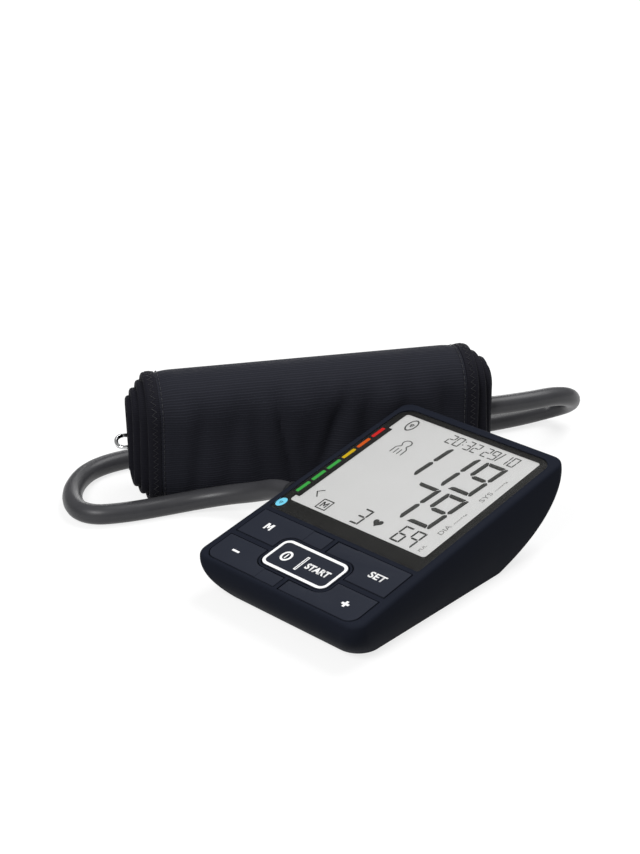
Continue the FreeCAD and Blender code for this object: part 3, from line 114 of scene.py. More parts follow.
# The hose's route: along the roll in its frame, then over the floor in the monitor's frame
HOSE_BY_ROLL = [
    (152.0, 0.9, 29.5), (175.0, 0.9, 29.5), (199.0, 2.6, 29.6), (216.5, 8.0, 28.6), (228.5, 15.0, 23.4),
    (232.8, 27.0, 14.0), (223.5, 37.0, 6.4), (202.0, 33.2, 5.1), (160.0, 27.0, 5.1), (112.0, 25.5, 5.1),
    (64.0, 27.5, 5.1), (21.0, 31.5, 5.1),
]
HOSE_ON_FLOOR = [
    (-164.5, 68.0, 5.1), (-169.5, 53.5, 5.1), (-169.9, 41.0, 5.1), (-165.6, 30.0, 5.1), (-158.2, 19.8, 5.1),
    (-148.5, 12.4, 5.1), (-139.6, 9.9, 5.1), (-131.6, 12.9, 5.1), (-125.6, 20.3, 5.1), (-119.6, 30.2, 5.1),
    (-112.9, 43.9, 5.1), (-104.4, 56.6, 6.4), (-93.2, 66.2, 9.3), (-80.8, 71.8, 12.9), (-67.2, 73.5, 19.2),
    (-59.75, 73.5, 19.5),
]

# The camera, and each light: name, place, aim, size and its share of the power overhead
CAMERA_PLACE = (0.48988, -0.54704, 0.39823)
CAMERA_TURN = (64.43711, 0.0, 42.55747)
CAMERA_LENS = 71.157
SOFTBOXES = [
    ("overhead", (0.15, 0.6, 1.25), (0.0, 0.0, 0.0), 0.9, 1.0),
    ("front", (0.25, -1.0, 1.05), (0.0, 0.0, 0.03), 0.4, 0.85),
    ("behind", (-0.9, 0.95, 0.3), (0.0, 0.0, 0.05), 0.6, 0.25),
]


def srgb(red, green, blue):
    """A colour given as it shows on a screen, from 0 to 255, as Blender's linear colour."""
    def linear(value):
        share = value / 255
        return share / 12.92 if share <= 0.04045 else ((share + 0.055) / 1.055) ** 2.4
    return linear(red), linear(green), linear(blue)


def rgba(colour):
    """A colour with full cover."""
    return (*colour, 1.0)


def clamp(value):
    """A value kept between 0 and 1."""
    return min(1.0, max(0.0, value))


def on_slope(x, along, level):
    """A point on the sloping top, from millimetres."""
    return SLOPE @ (Vector((x, along, level)) * MM)


def in_roll(along, back, height):
    """A point in the rolled cuff's frame, from millimetres."""
    return ROLL @ (Vector((along, back, height)) * MM)


def by_monitor(x, y, z):
    """A point in the monitor's frame, from millimetres."""
    return ORIGIN + Vector((x, y, z)) * MM


# Settings that a user may change

def colour_setting(name, description, shown):
    """A colour, given as it shows on a screen."""
    return bpy.props.FloatVectorProperty(
        name=name, description=description, subtype="COLOR", size=3, min=0.0, max=1.0, default=srgb(*shown))


def length_setting(name, description, millimetres):
    """A length, given in millimetres."""
    return bpy.props.FloatProperty(
        name=name, description=description, unit="LENGTH", subtype="DISTANCE", min=0.0,
        default=millimetres * MM)


class MonitorSettings(bpy.types.PropertyGroup):
    """Colours of the monitor"""
    housing: colour_setting("Housing", "Moulded shell", (31, 34, 43))
    keys: colour_setting("Keys", "Key caps", (41, 44, 53))
    border: colour_setting("Border", "Print behind the display window", (25, 25, 24))
    panel: colour_setting("Panel", "Face of the liquid crystal panel", (206, 206, 205))
    segments: colour_setting("Segments", "Digits and signs that are switched on", (25, 26, 21))
    labels: colour_setting("Labels", "Print on the keys", (242, 242, 242))
    badge: colour_setting("Badge", "Round mark beside the display", (116, 204, 230))
    good: colour_setting("Good range", "First three bars of the scale", (55, 157, 65))
    raised: colour_setting("Raised range", "Fourth bar of the scale", (196, 163, 14))
    high: colour_setting("High range", "Fifth bar of the scale", (196, 80, 12))
    highest: colour_setting("Highest range", "Last bar of the scale", (193, 29, 27))


class CuffSettings(bpy.types.PropertyGroup):
    """Sizes and colours of the rolled cuff"""
    fabric: colour_setting("Fabric", "Ribbed outer cloth", (39, 40, 47))
    lining: colour_setting("Lining", "Smooth inner cloth", (22, 22, 25))
    tape: colour_setting("Tape", "Binding round the edges", (27, 27, 33))
    thread: colour_setting("Thread", "Stitching of the hems", (40, 40, 45))
    rib_pitch: length_setting("Rib pitch", "Distance between two ribs of the outer cloth", 1.19)
    wrinkle_depth: length_setting("Wrinkle depth", "How far the soft creases go in", 3.2)
    hem_width: length_setting("Hem width", "Width of the edge binding", 6.0)


class HoseSettings(bpy.types.PropertyGroup):
    """Size and colour of the air hose"""
    rubber: colour_setting("Rubber", "Hose", (60, 60, 63))
    diameter: length_setting("Diameter", "Outside of the hose", 10.0)


class StageSettings(bpy.types.PropertyGroup):
    """Floor and light"""
    floor: colour_setting("Floor", "Studio floor", (140, 140, 140))
    softbox: bpy.props.FloatProperty(
        name="Softbox", description="Power of the light overhead", subtype="POWER", unit="POWER",
        default=13.5)
    surround: bpy.props.FloatProperty(
        name="Surround", description="Strength of the light from all sides", subtype="FACTOR", default=0.27)


# Shaders

class Wire:
    """A shader socket that takes part in sums. Each sum adds a Math node."""

    def __init__(self, paint, socket):
        self.paint = paint
        self.socket = socket

    def _maths(self, operation, *values):
        return self.paint.node("ShaderNodeMath", {"operation": operation}, dict(enumerate(values)))

    def __add__(self, other):
        return self._maths("ADD", self, other)

    def __radd__(self, other):
        return self._maths("ADD", other, self)

    def __sub__(self, other):
        return self._maths("SUBTRACT", self, other)

    def __rsub__(self, other):
        return self._maths("SUBTRACT", other, self)

    def __mul__(self, other):
        return self._maths("MULTIPLY", self, other)

    def __rmul__(self, other):
        return self._maths("MULTIPLY", other, self)

    def __pow__(self, other):
        return self._maths("POWER", self, other)

    def wave(self, period):
        """A ripple from 0 to 1 with that period."""
        return self._maths("SINE", self * (2 * math.pi / period)) * 0.5 + 0.5

    def step(self, low, high):
        """0 under low, 1 over high, and smooth between them."""
        span = {"Value": self, "From Min": low, "From Max": high}
        return self.paint.node("ShaderNodeMapRange", {"interpolation_type": "SMOOTHSTEP"}, span)


class Paint:
    """One material and the nodes that make it."""

    def __init__(self, name):
        self.material = bpy.data.materials.new(name)
        self.material.use_nodes = True
        self.tree = self.material.node_tree
        self.tree.nodes.clear()

    def node(self, kind, settings=None, inputs=None, output=0):
        """A node with its settings, then its socket values and links. Gives one of its outputs."""
        made = self.tree.nodes.new(kind)
        for key, value in (settings or {}).items():
            setattr(made, key, value)
        for key, value in (inputs or {}).items():
            if isinstance(value, Wire):
                self.tree.links.new(value.socket, made.inputs[key])
            else:
                made.inputs[key].default_value = value
        return Wire(self, made.outputs[output]) if made.outputs else None

    def place(self):
        """The point on the object, in metres, which moves with it."""
        return self.node("ShaderNodeTexCoord", output="Object")

    def axis(self, vector, letter):
        """One part of a vector."""
        return self.node("ShaderNodeSeparateXYZ", None, {0: vector}, output=letter)

    def stretched(self, scale):
        """The point on the object with each axis scaled."""
        return self.node("ShaderNodeVectorMath", {"operation": "MULTIPLY"}, {0: self.place(), 1: scale})

    def noise(self, millimetres, detail=2.0, at=None):
        """Soft noise with blobs of about that size."""
        return self.node(
            "ShaderNodeTexNoise", None,
            {"Vector": at or self.place(), "Scale": 1 / (millimetres * MM), "Detail": detail})

    def mix(self, first, second, share):
        """From one colour to another."""
        sockets = {0: share}
        for socket, colour in ((6, first), (7, second)):
            sockets[socket] = colour if isinstance(colour, Wire) else rgba(colour)
        return self.node("ShaderNodeMix", {"data_type": "RGBA"}, sockets, output=2)

    def bump(self, height, millimetres, strength=1.0):
        """Relief of that depth."""
        return self.node(
            "ShaderNodeBump", None, {"Height": height, "Distance": millimetres * MM, "Strength": strength})

    def principled(self, **inputs):
        """Ends the material in one shader. Names with spaces are written with underscores."""
        sockets = {key.replace("_", " "): value for key, value in inputs.items()}
        shader = self.node("ShaderNodeBsdfPrincipled", None, sockets)
        self.node("ShaderNodeOutputMaterial", None, {"Surface": shader})
        return self.material


def tone(colour, gain):
    """A colour made lighter or darker."""
    return tuple(min(1.0, part * gain) for part in colour)


def moulded_plastic(name, colour, roughness=0.45, grain=0.4, gloss=0.45):
    """Plastic from a spark-eroded mould: a fine grain and a faint flow pattern."""
    paint = Paint(name)
    fine = paint.noise(grain, 3.0)
    flow = paint.noise(22.0, 2.0)
    base = paint.mix(tone(colour, 0.9), tone(colour, 1.1), flow * 0.7 + fine * 0.3)
    return paint.principled(
        Base_Color=base, Roughness=roughness + (fine - 0.5) * 0.14 + (flow - 0.5) * 0.1,
        Normal=paint.bump(fine, 0.012, 0.6), Specular_IOR_Level=gloss)


def soft_rubber(name, colour, roughness=0.6, grain=0.7):
    """Rubber or silicone: a dull bloom over a slightly uneven skin."""
    paint = Paint(name)
    skin = paint.noise(grain, 4.0)
    bloom = paint.noise(14.0, 3.0)
    base = paint.mix(tone(colour, 0.85), tone(colour, 1.2), bloom)
    return paint.principled(
        Base_Color=base, Roughness=roughness + (bloom - 0.5) * 0.2, Normal=paint.bump(skin, 0.02, 0.5),
        Specular_IOR_Level=0.35)


def bare_metal(name, colour, roughness=0.25, brushed=(1.0, 1.0, 30.0)):
    """Metal with fine lines along one way and a slight cloud."""
    paint = Paint(name)
    lines = paint.noise(2.0, 3.0, paint.stretched(brushed))
    cloud = paint.noise(9.0, 2.0)
    base = paint.mix(tone(colour, 0.86), tone(colour, 1.06), cloud)
    return paint.principled(
        Base_Color=base, Metallic=1.0, Roughness=roughness + (lines - 0.5) * 0.16 + (cloud - 0.5) * 0.08,
        Normal=paint.bump(lines, 0.006, 0.5))


def printed_ink(name, colour, roughness=0.5):
    """Screen-printed ink: nearly even, with a fine mesh mark."""
    paint = Paint(name)
    mesh = paint.noise(0.35, 2.0)
    cover = paint.noise(5.0, 2.0)
    base = paint.mix(tone(colour, 0.93), tone(colour, 1.03), cover * 0.6 + mesh * 0.4)
    return paint.principled(
        Base_Color=base, Roughness=roughness + (mesh - 0.5) * 0.12, Normal=paint.bump(mesh, 0.004, 0.4),
        Specular_IOR_Level=0.2)


def clear_window(name):
    """A clear window: only its shine shows, a little uneven, and stronger where it is seen flat."""
    paint = Paint(name)
    haze = paint.noise(30.0, 3.0)
    rim = paint.node("ShaderNodeFresnel", None, {"IOR": 1.45})
    through = paint.node("ShaderNodeBsdfTransparent")
    shine = paint.node("ShaderNodeBsdfGlossy", None, {"Roughness": 0.05 + haze * 0.06})
    both = paint.node("ShaderNodeMixShader", None, {0: rim * (0.13 + haze * 0.1), 1: through, 2: shine})
    paint.node("ShaderNodeOutputMaterial", None, {"Surface": both})
    return paint.material


def panel_face(name, colour):
    """A reflective liquid crystal panel: a fine grain, cells in a faint grid and a soft drift of tone."""
    paint = Paint(name)
    grain = paint.noise(0.25, 2.0)
    drift = paint.noise(60.0, 1.0)
    cell = 0.0009
    grid = paint.axis(paint.place(), "X").wave(cell) * paint.axis(paint.place(), "Y").wave(cell)
    base = paint.mix(tone(colour, 0.94), tone(colour, 1.03), drift * 0.75 + grain * 0.15 + grid * 0.1)
    return paint.principled(
        Base_Color=base, Roughness=0.5 + (grain - 0.5) * 0.1, Normal=paint.bump(grain, 0.003, 0.3))


def board_laminate(name, colour):
    """Glass-fibre board with copper runs under green lacquer."""
    paint = Paint(name)
    runs = paint.node(
        "ShaderNodeTexVoronoi", {"feature": "DISTANCE_TO_EDGE", "distance": "MANHATTAN"},
        {"Vector": paint.place(), "Scale": 260.0})
    weave = paint.noise(0.5, 2.0)
    base = paint.mix(tone(colour, 1.5), tone(colour, 0.8), runs.step(0.03, 0.08) * 0.85 + weave * 0.15)
    return paint.principled(
        Base_Color=base, Roughness=0.35 + weave * 0.15, Normal=paint.bump(runs.step(0.03, 0.08), 0.03, 0.5))


def cell_jacket(name):
    """The printed film of a dry cell: a dark body and a copper band towards one end."""
    paint = Paint(name)
    low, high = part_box("battery_cells")
    start = low.y * 0.3 + high.y * 0.7
    blur = 0.0004
    band = paint.axis(paint.place(), "Y").step(start - blur, start + blur)
    scuff = paint.noise(3.0, 4.0)
    base = paint.mix(paint.mix(srgb(34, 36, 40), srgb(48, 50, 56), scuff), srgb(186, 120, 62), band)
    return paint.principled(
        Base_Color=base, Metallic=band * 0.7, Roughness=0.28 + scuff * 0.18,
        Normal=paint.bump(scuff, 0.01, 0.4))


def cloth_ways(paint):
    """Along the roll and round it, in metres of cloth."""
    ways = paint.node("ShaderNodeUVMap", {"uv_map": "cloth"})
    return paint.axis(ways, "X"), paint.axis(ways, "Y")


def ribbed_cloth(name, colour, pitch):
    """Woven nylon with ribs along the roll, cross threads and slubs; painted highlight on the rib crowns and
    painted shade between them.
    """
    paint = Paint(name)
    along, round_it = cloth_ways(paint)
    slub = paint.noise(7.0, 3.0)
    fuzz = paint.noise(0.6, 3.0)
    rib = (round_it + (slub - 0.5) * (pitch * 0.5)).wave(pitch)
    thread = along.wave(0.0007)
    heavy = round_it.wave(pitch * 2)
    crown = rib ** 2.0 * (0.6 + heavy * 0.4)
    # Painted highlight on the rib crowns and painted shade in the hollows between them, mixed with the own
    # tone of the threads, the fuzz and the slubs.
    light = crown * 0.6 + thread * 0.14 + fuzz * 0.18 + slub * 0.12
    height = crown * 0.7 + thread * crown * 0.2 + fuzz * 0.25
    return paint.principled(
        Base_Color=paint.mix(tone(colour, 0.62), tone(colour, 1.5), light),
        Roughness=0.72 + (fuzz - 0.5) * 0.2 - crown * 0.08, Normal=paint.bump(height, 0.16, 0.75),
        Specular_IOR_Level=0.05, Sheen_Weight=0.02, Sheen_Roughness=0.35,
        Sheen_Tint=rgba(srgb(150, 150, 165)))


def smooth_lining(name, colour):
    """Coated nylon: tight weave with a plastic shine."""
    paint = Paint(name)
    along, round_it = cloth_ways(paint)
    pitch = 0.0005
    weave = along.wave(pitch) * 0.5 + round_it.wave(pitch) * 0.5
    crease = paint.noise(4.0, 4.0)
    base = paint.mix(tone(colour, 0.8), tone(colour, 1.4), weave * 0.4 + crease * 0.6)
    return paint.principled(
        Base_Color=base, Roughness=0.34 + crease * 0.16, Normal=paint.bump(weave * 0.3 + crease, 0.12, 0.7),
        Specular_IOR_Level=0.55, Coat_Weight=0.1 + crease * 0.15, Coat_Roughness=0.2)


def grosgrain_tape(name, colour):
    """Binding tape with cross ribs and a fuzzy fold."""
    paint = Paint(name)
    rib = cloth_ways(paint)[1].wave(0.0009)
    fuzz = paint.noise(0.5, 3.0)
    base = paint.mix(tone(colour, 0.7), tone(colour, 1.5), rib * 0.6 + fuzz * 0.4)
    return paint.principled(
        Base_Color=base, Roughness=0.7 + (fuzz - 0.5) * 0.2, Normal=paint.bump(rib + fuzz * 0.4, 0.1, 0.7),
        Specular_IOR_Level=0.05, Sheen_Weight=0.03, Sheen_Roughness=0.4)


def sewing_thread(name, colour):
    """Twisted polyester thread."""
    paint = Paint(name)
    twist = paint.noise(0.3, 2.0)
    return paint.principled(
        Base_Color=paint.mix(tone(colour, 0.7), tone(colour, 1.25), twist), Roughness=0.5 + twist * 0.15,
        Normal=paint.bump(twist, 0.05, 0.6))


def hook_tape(name, colour):
    """Rows of small hooks."""
    paint = Paint(name)
    hooks = paint.node(
        "ShaderNodeTexVoronoi", {"feature": "F1"},
        {"Vector": paint.place(), "Scale": 900.0, "Randomness": 0.35})
    tips = 1 - hooks.step(0.15, 0.55)
    return paint.principled(
        Base_Color=paint.mix(tone(colour, 0.6), tone(colour, 1.6), tips), Roughness=0.55 - tips * 0.15,
        Normal=paint.bump(tips, 0.5, 0.8))


def fleece(name, colour):
    """Needled padding."""
    paint = Paint(name)
    hair = paint.noise(0.4, 5.0)
    tuft = paint.noise(3.0, 3.0)
    return paint.principled(
        Base_Color=paint.mix(tone(colour, 0.75), tone(colour, 1.15), hair * 0.5 + tuft * 0.5),
        Roughness=0.85 + (hair - 0.5) * 0.1, Normal=paint.bump(hair + tuft, 0.4, 0.8))


def hose_rubber(name, colour):
    """Extruded rubber: a satin skin with a fine grain and a dusty bloom."""
    paint = Paint(name)
    bloom = paint.noise(11.0, 3.0)
    skin = paint.noise(0.5, 3.0)
    base = paint.mix(tone(colour, 0.8), tone(colour, 1.2), bloom * 0.7 + skin * 0.3)
    return paint.principled(
        Base_Color=base, Roughness=0.38 + (bloom - 0.5) * 0.12 + (skin - 0.5) * 0.08,
        Normal=paint.bump(skin, 0.02, 0.5), Specular_IOR_Level=0.36)


def studio_floor(name, colour):
    """A pale floor that shows white, keeps the shadow and is clear from below."""
    paint = Paint(name)
    rays = ("Is Camera Ray", "Is Glossy Ray", "Is Transmission Ray")
    camera, glossy, through = [paint.node("ShaderNodeLightPath", output=ray) for ray in rays]
    distance = paint.node("ShaderNodeVectorMath", {"operation": "LENGTH"}, {0: paint.place()}, output="Value")
    level = (camera + glossy + through) * (0.78 + distance.step(0.5, 1.9) * 0.17)
    white = paint.mix((0.0, 0.0, 0.0), (1.0, 1.0, 1.0), level)
    diffuse = paint.node("ShaderNodeBsdfDiffuse", None, {"Color": rgba(colour)})
    glow = paint.node("ShaderNodeEmission", None, {"Color": white, "Strength": 1.0})
    both = paint.node("ShaderNodeAddShader", None, {0: diffuse, 1: glow})
    below = paint.node("ShaderNodeNewGeometry", output="Backfacing")
    clear = paint.node("ShaderNodeBsdfTransparent")
    shown = paint.node("ShaderNodeMixShader", None, {0: below, 1: both, 2: clear})
    paint.node("ShaderNodeOutputMaterial", None, {"Surface": shown})
    return paint.material


# Making pieces

def finish_node(material, *names):
    """Gives CAD nodes a finished material."""
    for name in names:
        slots = NODES[name].data.materials
        slots.clear()
        slots.append(material)


def placed(name, data, body):
    """An object in the shared frame, which rides on a body."""
    thing = bpy.data.objects.new(name, data)
    bpy.context.scene.collection.objects.link(thing)
    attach(thing, body)
    return thing


def piece(name, points, faces, materials, body, ways=None, chosen=None):
    """A mesh piece from points and faces, with cloth lengths and chosen materials where it has them."""
    mesh = bpy.data.meshes.new(name)
    mesh.from_pydata(points, [], faces)
    for material in materials:
        mesh.materials.append(material)
    if chosen:
        mesh.polygons.foreach_set("material_index", chosen)
    if ways:
        layer = mesh.uv_layers.new(name="cloth")
        for loop in mesh.loops:
            layer.data[loop.index].uv = ways[loop.vertex_index]
    mesh.validate()
    mesh.polygons.foreach_set("use_smooth", [True] * len(mesh.polygons))
    mesh.set_sharp_from_angle(angle=math.radians(40))
    return placed(name, mesh, body)


def ink_plates(name, outlines, level, material, body):
    """Thin plates on the sloping top, one for each closed outline of (x, along) in millimetres."""
    points = []
    faces = []
    for outline in outlines:
        first = len(points)
        count = len(outline)
        for height in (level, level + INK):
            points += [on_slope(x, along, height) for x, along in outline]
        faces.append([first + count + index for index in range(count)])
        faces.append([first + index for index in reversed(range(count))])
        for index in range(count):
            after = (index + 1) % count
            faces.append([first + index, first + after, first + count + after, first + count + index])
    return piece(name, points, faces, [material], body)


def panel_plates(name, outlines, ink):
    """Segments that show on the liquid crystal panel."""
    return ink_plates(name, outlines, LCD_TOP, ink, "monitor")


def ink_ring(name, outer, inner, level, material, body):
    """A closed band on the sloping top."""
    points = []
    for height in (level, level + INK):
        for outline in (outer, inner):
            points += [on_slope(x, along, height) for x, along in outline]
    count = len(outer)
    faces = []
    for index in range(count):
        after = (index + 1) % count
        low_out, low_in, high_out, high_in = 0, count, 2 * count, 3 * count
        faces.append([high_out + index, high_out + after, high_in + after, high_in + index])
        faces.append([low_out + after, low_out + index, low_in + index, low_in + after])
        faces.append([low_out + index, low_out + after, high_out + after, high_out + index])
        faces.append([low_in + after, low_in + index, high_in + index, high_in + after])
    return piece(name, points, faces, [material], body)


def panel_ring(name, outer, inner, ink):
    """A closed band that shows on the liquid crystal panel."""
    return ink_ring(name, outer, inner, LCD_TOP, ink, "monitor")


def oval(x, along, width, length, count=48, start=0.0, sweep=2 * math.pi):
    """Points on an oval, or on a part of it."""
    steps = count if sweep >= 2 * math.pi else count - 1
    points = []
    for index in range(count):
        angle = start + sweep * index / steps
        points.append((x + width / 2 * math.cos(angle), along + length / 2 * math.sin(angle)))
    return points


def rounded_box(x0, x1, y0, y1, radius, steps=6):
    """The outline of a box with round corners."""
    points = []
    for cx, cy, turn in ((x1 - radius, y0 + radius, -90), (x1 - radius, y1 - radius, 0),
                         (x0 + radius, y1 - radius, 90), (x0 + radius, y0 + radius, 180)):
        for index in range(steps + 1):
            angle = math.radians(turn + 90 * index / steps)
            points.append((cx + radius * math.cos(angle), cy + radius * math.sin(angle)))
    return points


def stroke(points, width):
    """Plates along a line: one for each of its runs, mitred at the corners."""
    sides = []
    for index, point in enumerate(points):
        before = points[max(index - 1, 0)]
        after = points[min(index + 1, len(points) - 1)]
        way = Vector((after[0] - before[0], after[1] - before[1])).normalized()
        run = Vector((after[0] - point[0], after[1] - point[1]))
        if after == point:
            run = Vector((point[0] - before[0], point[1] - before[1]))
        reach = width / 2 / max(0.5, abs(way.dot(run.normalized())))
        right, up = way.y * reach, way.x * reach
        sides.append(((point[0] - right, point[1] + up), (point[0] + right, point[1] - up)))
    return [[a[1], b[1], b[0], a[0]] for a, b in zip(sides, sides[1:])]


def waves(x, along, reaches, wide, tall, spread, width):
    """Plates along arcs over a point, one arc for each reach."""
    start, sweep = math.radians(90 - spread / 2), math.radians(spread)
    plates = []
    for reach in reaches:
        plates += stroke(oval(x, along, reach * wide, reach * tall, 12, start, sweep), width)
    return plates


# The bars of a digit: top t, upper right a, lower right b, bottom d, lower left c, upper left f, middle m,
# and long forms of the top and the bottom, T and D
DIGIT_BARS = {
    "0": "tabcdf", "1": "ab", "2": "tamdc", "3": "tambd",
    "6": "tfmcbd", "7": "Tab", "9": "tafmbD", "q": "tafmb",
}


def digit(sign, left, low, width, height, stroke_wide, stroke_high, lean):
    """The bars of one seven-bar digit, with slanted ends and small gaps."""
    gap = 0.07 * stroke_wide + 0.08
    middle = height / 2
    half_w = stroke_wide / 2
    half_h = stroke_high / 2

    def upright(x, inner, outer):
        out = 1 if x > 0 else -1
        way = 1 if outer > inner else -1
        tip = outer + way * half_h * 0.9
        start = inner + way * (gap + half_w)
        near, far = x - out * half_w, x + out * half_w
        return [
            (x, inner + way * gap), (far, start), (far, tip - way * half_w * 0.5),
            (x + out * half_w * 0.4, tip), (x - out * half_w * 0.2, tip - way * half_w * 0.4),
            (near, outer - way * half_h), (near, start)]

    def level(y, out):
        start, end = gap + half_w * 0.5, width - gap - half_w * 0.5
        if out == 0:
            return [
                (start, y), (start + half_h, y - half_h), (end - half_h, y - half_h), (end, y),
                (end - half_h, y + half_h), (start + half_h, y + half_h)]
        outer, inner, eased = y + out * half_h, y - out * half_h, y - out * half_h * 0.6
        return [
            (start - half_w * 0.4, outer), (end + half_w * 0.2, outer), (end - half_w * 0.2, eased),
            (end - half_h, inner), (start + half_h, inner), (start + half_w * 0.2, eased)]

    def reached(bar):
        return [(x - half_w * 1.4 if x < width / 2 else x, y) for x, y in bar]

    top, bottom = level(height, 1), level(0.0, -1)
    bars = {
        "t": top, "m": level(middle, 0), "d": bottom, "T": reached(top), "D": reached(bottom),
        "a": upright(width, middle, height), "b": upright(width, middle, 0.0),
        "f": upright(0.0, middle, height), "c": upright(0.0, middle, 0.0),
    }
    return [[(left + x + lean * y, low + y) for x, y in bars[bar]] for bar in DIGIT_BARS[sign]]


def letter_m(x, along, width, height, stem):
    """The outline of a plain M about a middle point."""
    half, up = width / 2, height / 2
    dip = -height * 0.12
    left, right = -half + stem, half - stem
    fork, notch = dip - up * 0.3, dip + up * 0.32
    shape = [
        (-half, -up), (left, -up), (left, up * 0.42), (-stem * 0.32, fork), (stem * 0.32, fork),
        (right, up * 0.42), (right, -up), (half, -up), (half, up), (half - stem * 1.25, up), (0.0, notch),
        (-half + stem * 1.25, up), (-half, up)]
    return [(x + across, along + rise) for across, rise in shape]


def plus_sign(x, along, arm, half):
    """The outline of a plus about a middle point."""
    shape = [
        (half, -half), (arm, -half), (arm, half), (half, half), (half, arm), (-half, arm), (-half, half),
        (-arm, half), (-arm, -half), (-half, -half), (-half, -arm), (half, -arm)]
    return [(x + across, along + rise) for across, rise in shape]


def heart_shape(x, along, wide, tall, count=40):
    """The outline of a heart about a middle point."""
    points = []
    for index in range(count):
        angle = 2 * math.pi * index / count
        across = 16 * math.sin(angle) ** 3
        rise = 13 * math.cos(angle) - 5 * math.cos(2 * angle) - 2 * math.cos(3 * angle) - math.cos(4 * angle)
        points.append((x - across * wide, along + rise * tall))
    return points[::-1]


def lettering(name, text, middle, size, level, material, body, weight, turned=False):
    """Plain letters on the sloping top, fitted to a box about a middle point."""
    curve = bpy.data.curves.new(name, "FONT")
    curve.body = text
    curve.offset = weight
    curve.resolution_u = 4
    holder = bpy.data.objects.new(name + ".line", curve)
    bpy.context.scene.collection.objects.link(holder)
    bpy.context.view_layer.update()
    flat = bpy.data.meshes.new_from_object(holder.evaluated_get(bpy.context.evaluated_depsgraph_get()))
    bpy.data.objects.remove(holder)
    bpy.data.curves.remove(curve)
    shape = bmesh.new()
    shape.from_mesh(flat)
    bpy.data.meshes.remove(flat)
    bmesh.ops.remove_doubles(shape, verts=shape.verts, dist=1e-5)
    low = Vector((min(v.co.x for v in shape.verts), min(v.co.y for v in shape.verts), 0))
    high = Vector((max(v.co.x for v in shape.verts), max(v.co.y for v in shape.verts), 0))
    raised = bmesh.ops.extrude_face_region(shape, geom=list(shape.faces))["geom"]
    for vert in [item for item in raised if isinstance(item, bmesh.types.BMVert)]:
        vert.co.z = 1.0
    for vert in shape.verts:
        right = ((vert.co.x - low.x) / (high.x - low.x) - 0.5) * size[0]
        up = ((vert.co.y - low.y) / (high.y - low.y) - 0.5) * size[1]
        if turned:
            right, up = -up, right
        vert.co = on_slope(middle[0] + right, middle[1] + up, level + vert.co.z * INK)
    bmesh.ops.recalc_face_normals(shape, faces=shape.faces)
    mesh = bpy.data.meshes.new(name)
    shape.to_mesh(mesh)
    shape.free()
    mesh.materials.append(material)
    return placed(name, mesh, body)


def draft_sides(shape):
    """Leans the sides of a key inwards, so that its groove opens towards the top."""
    to_slope = SLOPE.inverted()
    up = (SLOPE.to_3x3() @ Vector((0, 0, 1))).normalized()
    upright = 0.3
    moves = []
    for vert in shape.verts:
        sides = [face.normal for face in vert.link_faces if abs(face.normal.dot(up)) < upright]
        if sides and (to_slope @ vert.co).z / MM > KEY_ROOT:
            way = sum(sides, Vector()).normalized()
            moves.append((vert, way * (-KEY_DRAFT * MM / max(way.dot(sides[0]), 0.5))))
    for vert, move in moves:
        vert.co += move


def key_cap(node, material):
    """A copy of a key with leaning sides and eased upper edges, which stands for it."""
    shape = bmesh.new()
    shape.from_mesh(NODES[node].data)
    bmesh.ops.remove_doubles(shape, verts=shape.verts, dist=1e-6)
    bmesh.ops.dissolve_limit(shape, angle_limit=math.radians(0.6), verts=shape.verts, edges=shape.edges)
    shape.normal_update()
    draft_sides(shape)
    to_slope = SLOPE.inverted()
    sharp = []
    for edge in shape.edges:
        lowest = min((to_slope @ vert.co).z / MM for vert in edge.verts)
        if lowest > KEY_ROOT and len(edge.link_faces) == 2 and edge.calc_face_angle() > math.radians(50):
            sharp.append(edge)
    bmesh.ops.bevel(
        shape, geom=sharp, offset=KEY_EASE * MM, offset_type="OFFSET", segments=3, profile=0.5,
        affect="EDGES", clamp_overlap=True)
    name = node + "_cap"
    mesh = bpy.data.meshes.new(name)
    shape.to_mesh(mesh)
    shape.free()
    mesh.materials.append(material)
    mesh.polygons.foreach_set("use_smooth", [True] * len(mesh.polygons))
    mesh.set_sharp_from_angle(angle=math.radians(32))
    cap = placed(name, mesh, node)
    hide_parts(node)
    return cap


# The rolled sleeve's line

Step = namedtuple("Step", "back height out_back out_height length turn")


def roll_line():
    """Steps round the roll from its inner to its outer end: place, outward way, cloth length and turn."""
    arc_steps, straight_steps = 20, 8
    straight_share, arc_share, tail_share = 0.45, 0.55, 0.4
    places = []
    for index in range(1, HALF_TURNS + 1):
        radius = FIRST_RADIUS + (index - 1) * RADIUS_STEP
        side = -1 if index % 2 else 1
        centre = -side * ROLL_MIDDLE
        level, other = (ROLL_TOP, ROLL_BOTTOM) if index % 2 else (ROLL_BOTTOM, ROLL_TOP)
        squareness = 1.0 if index % 2 else SAG
        for count in range(straight_steps):
            share = count / straight_steps
            height = other + (level - other) * share
            places.append((centre + side * radius, height, index - 1 + straight_share * share))
        for count in range(arc_steps):
            angle = math.pi * count / arc_steps
            across = math.copysign(abs(math.cos(angle)) ** squareness, math.cos(angle))
            rise = math.sin(angle) ** squareness
            turn = index - arc_share + arc_share * count / arc_steps
            places.append((centre + side * radius * across, level - side * radius * rise, turn))
    back = ROLL_MIDDLE + FIRST_RADIUS + (HALF_TURNS - 1) * RADIUS_STEP
    for count in range(straight_steps + 1):
        share = count / straight_steps
        places.append((back, ROLL_TOP - TAIL * share, HALF_TURNS + tail_share * share))
    line = []
    length = 0.0
    for index, (across, height, turn) in enumerate(places):
        before = places[max(index - 1, 0)]
        after = places[min(index + 1, len(places) - 1)]
        length += math.hypot(across - before[0], height - before[1])
        run = math.hypot(after[0] - before[0], after[1] - before[1])
        out_back, out_height = (before[1] - after[1]) / run, (after[0] - before[0]) / run
        line.append(Step(across, height, out_back, out_height, length, turn))
    return line


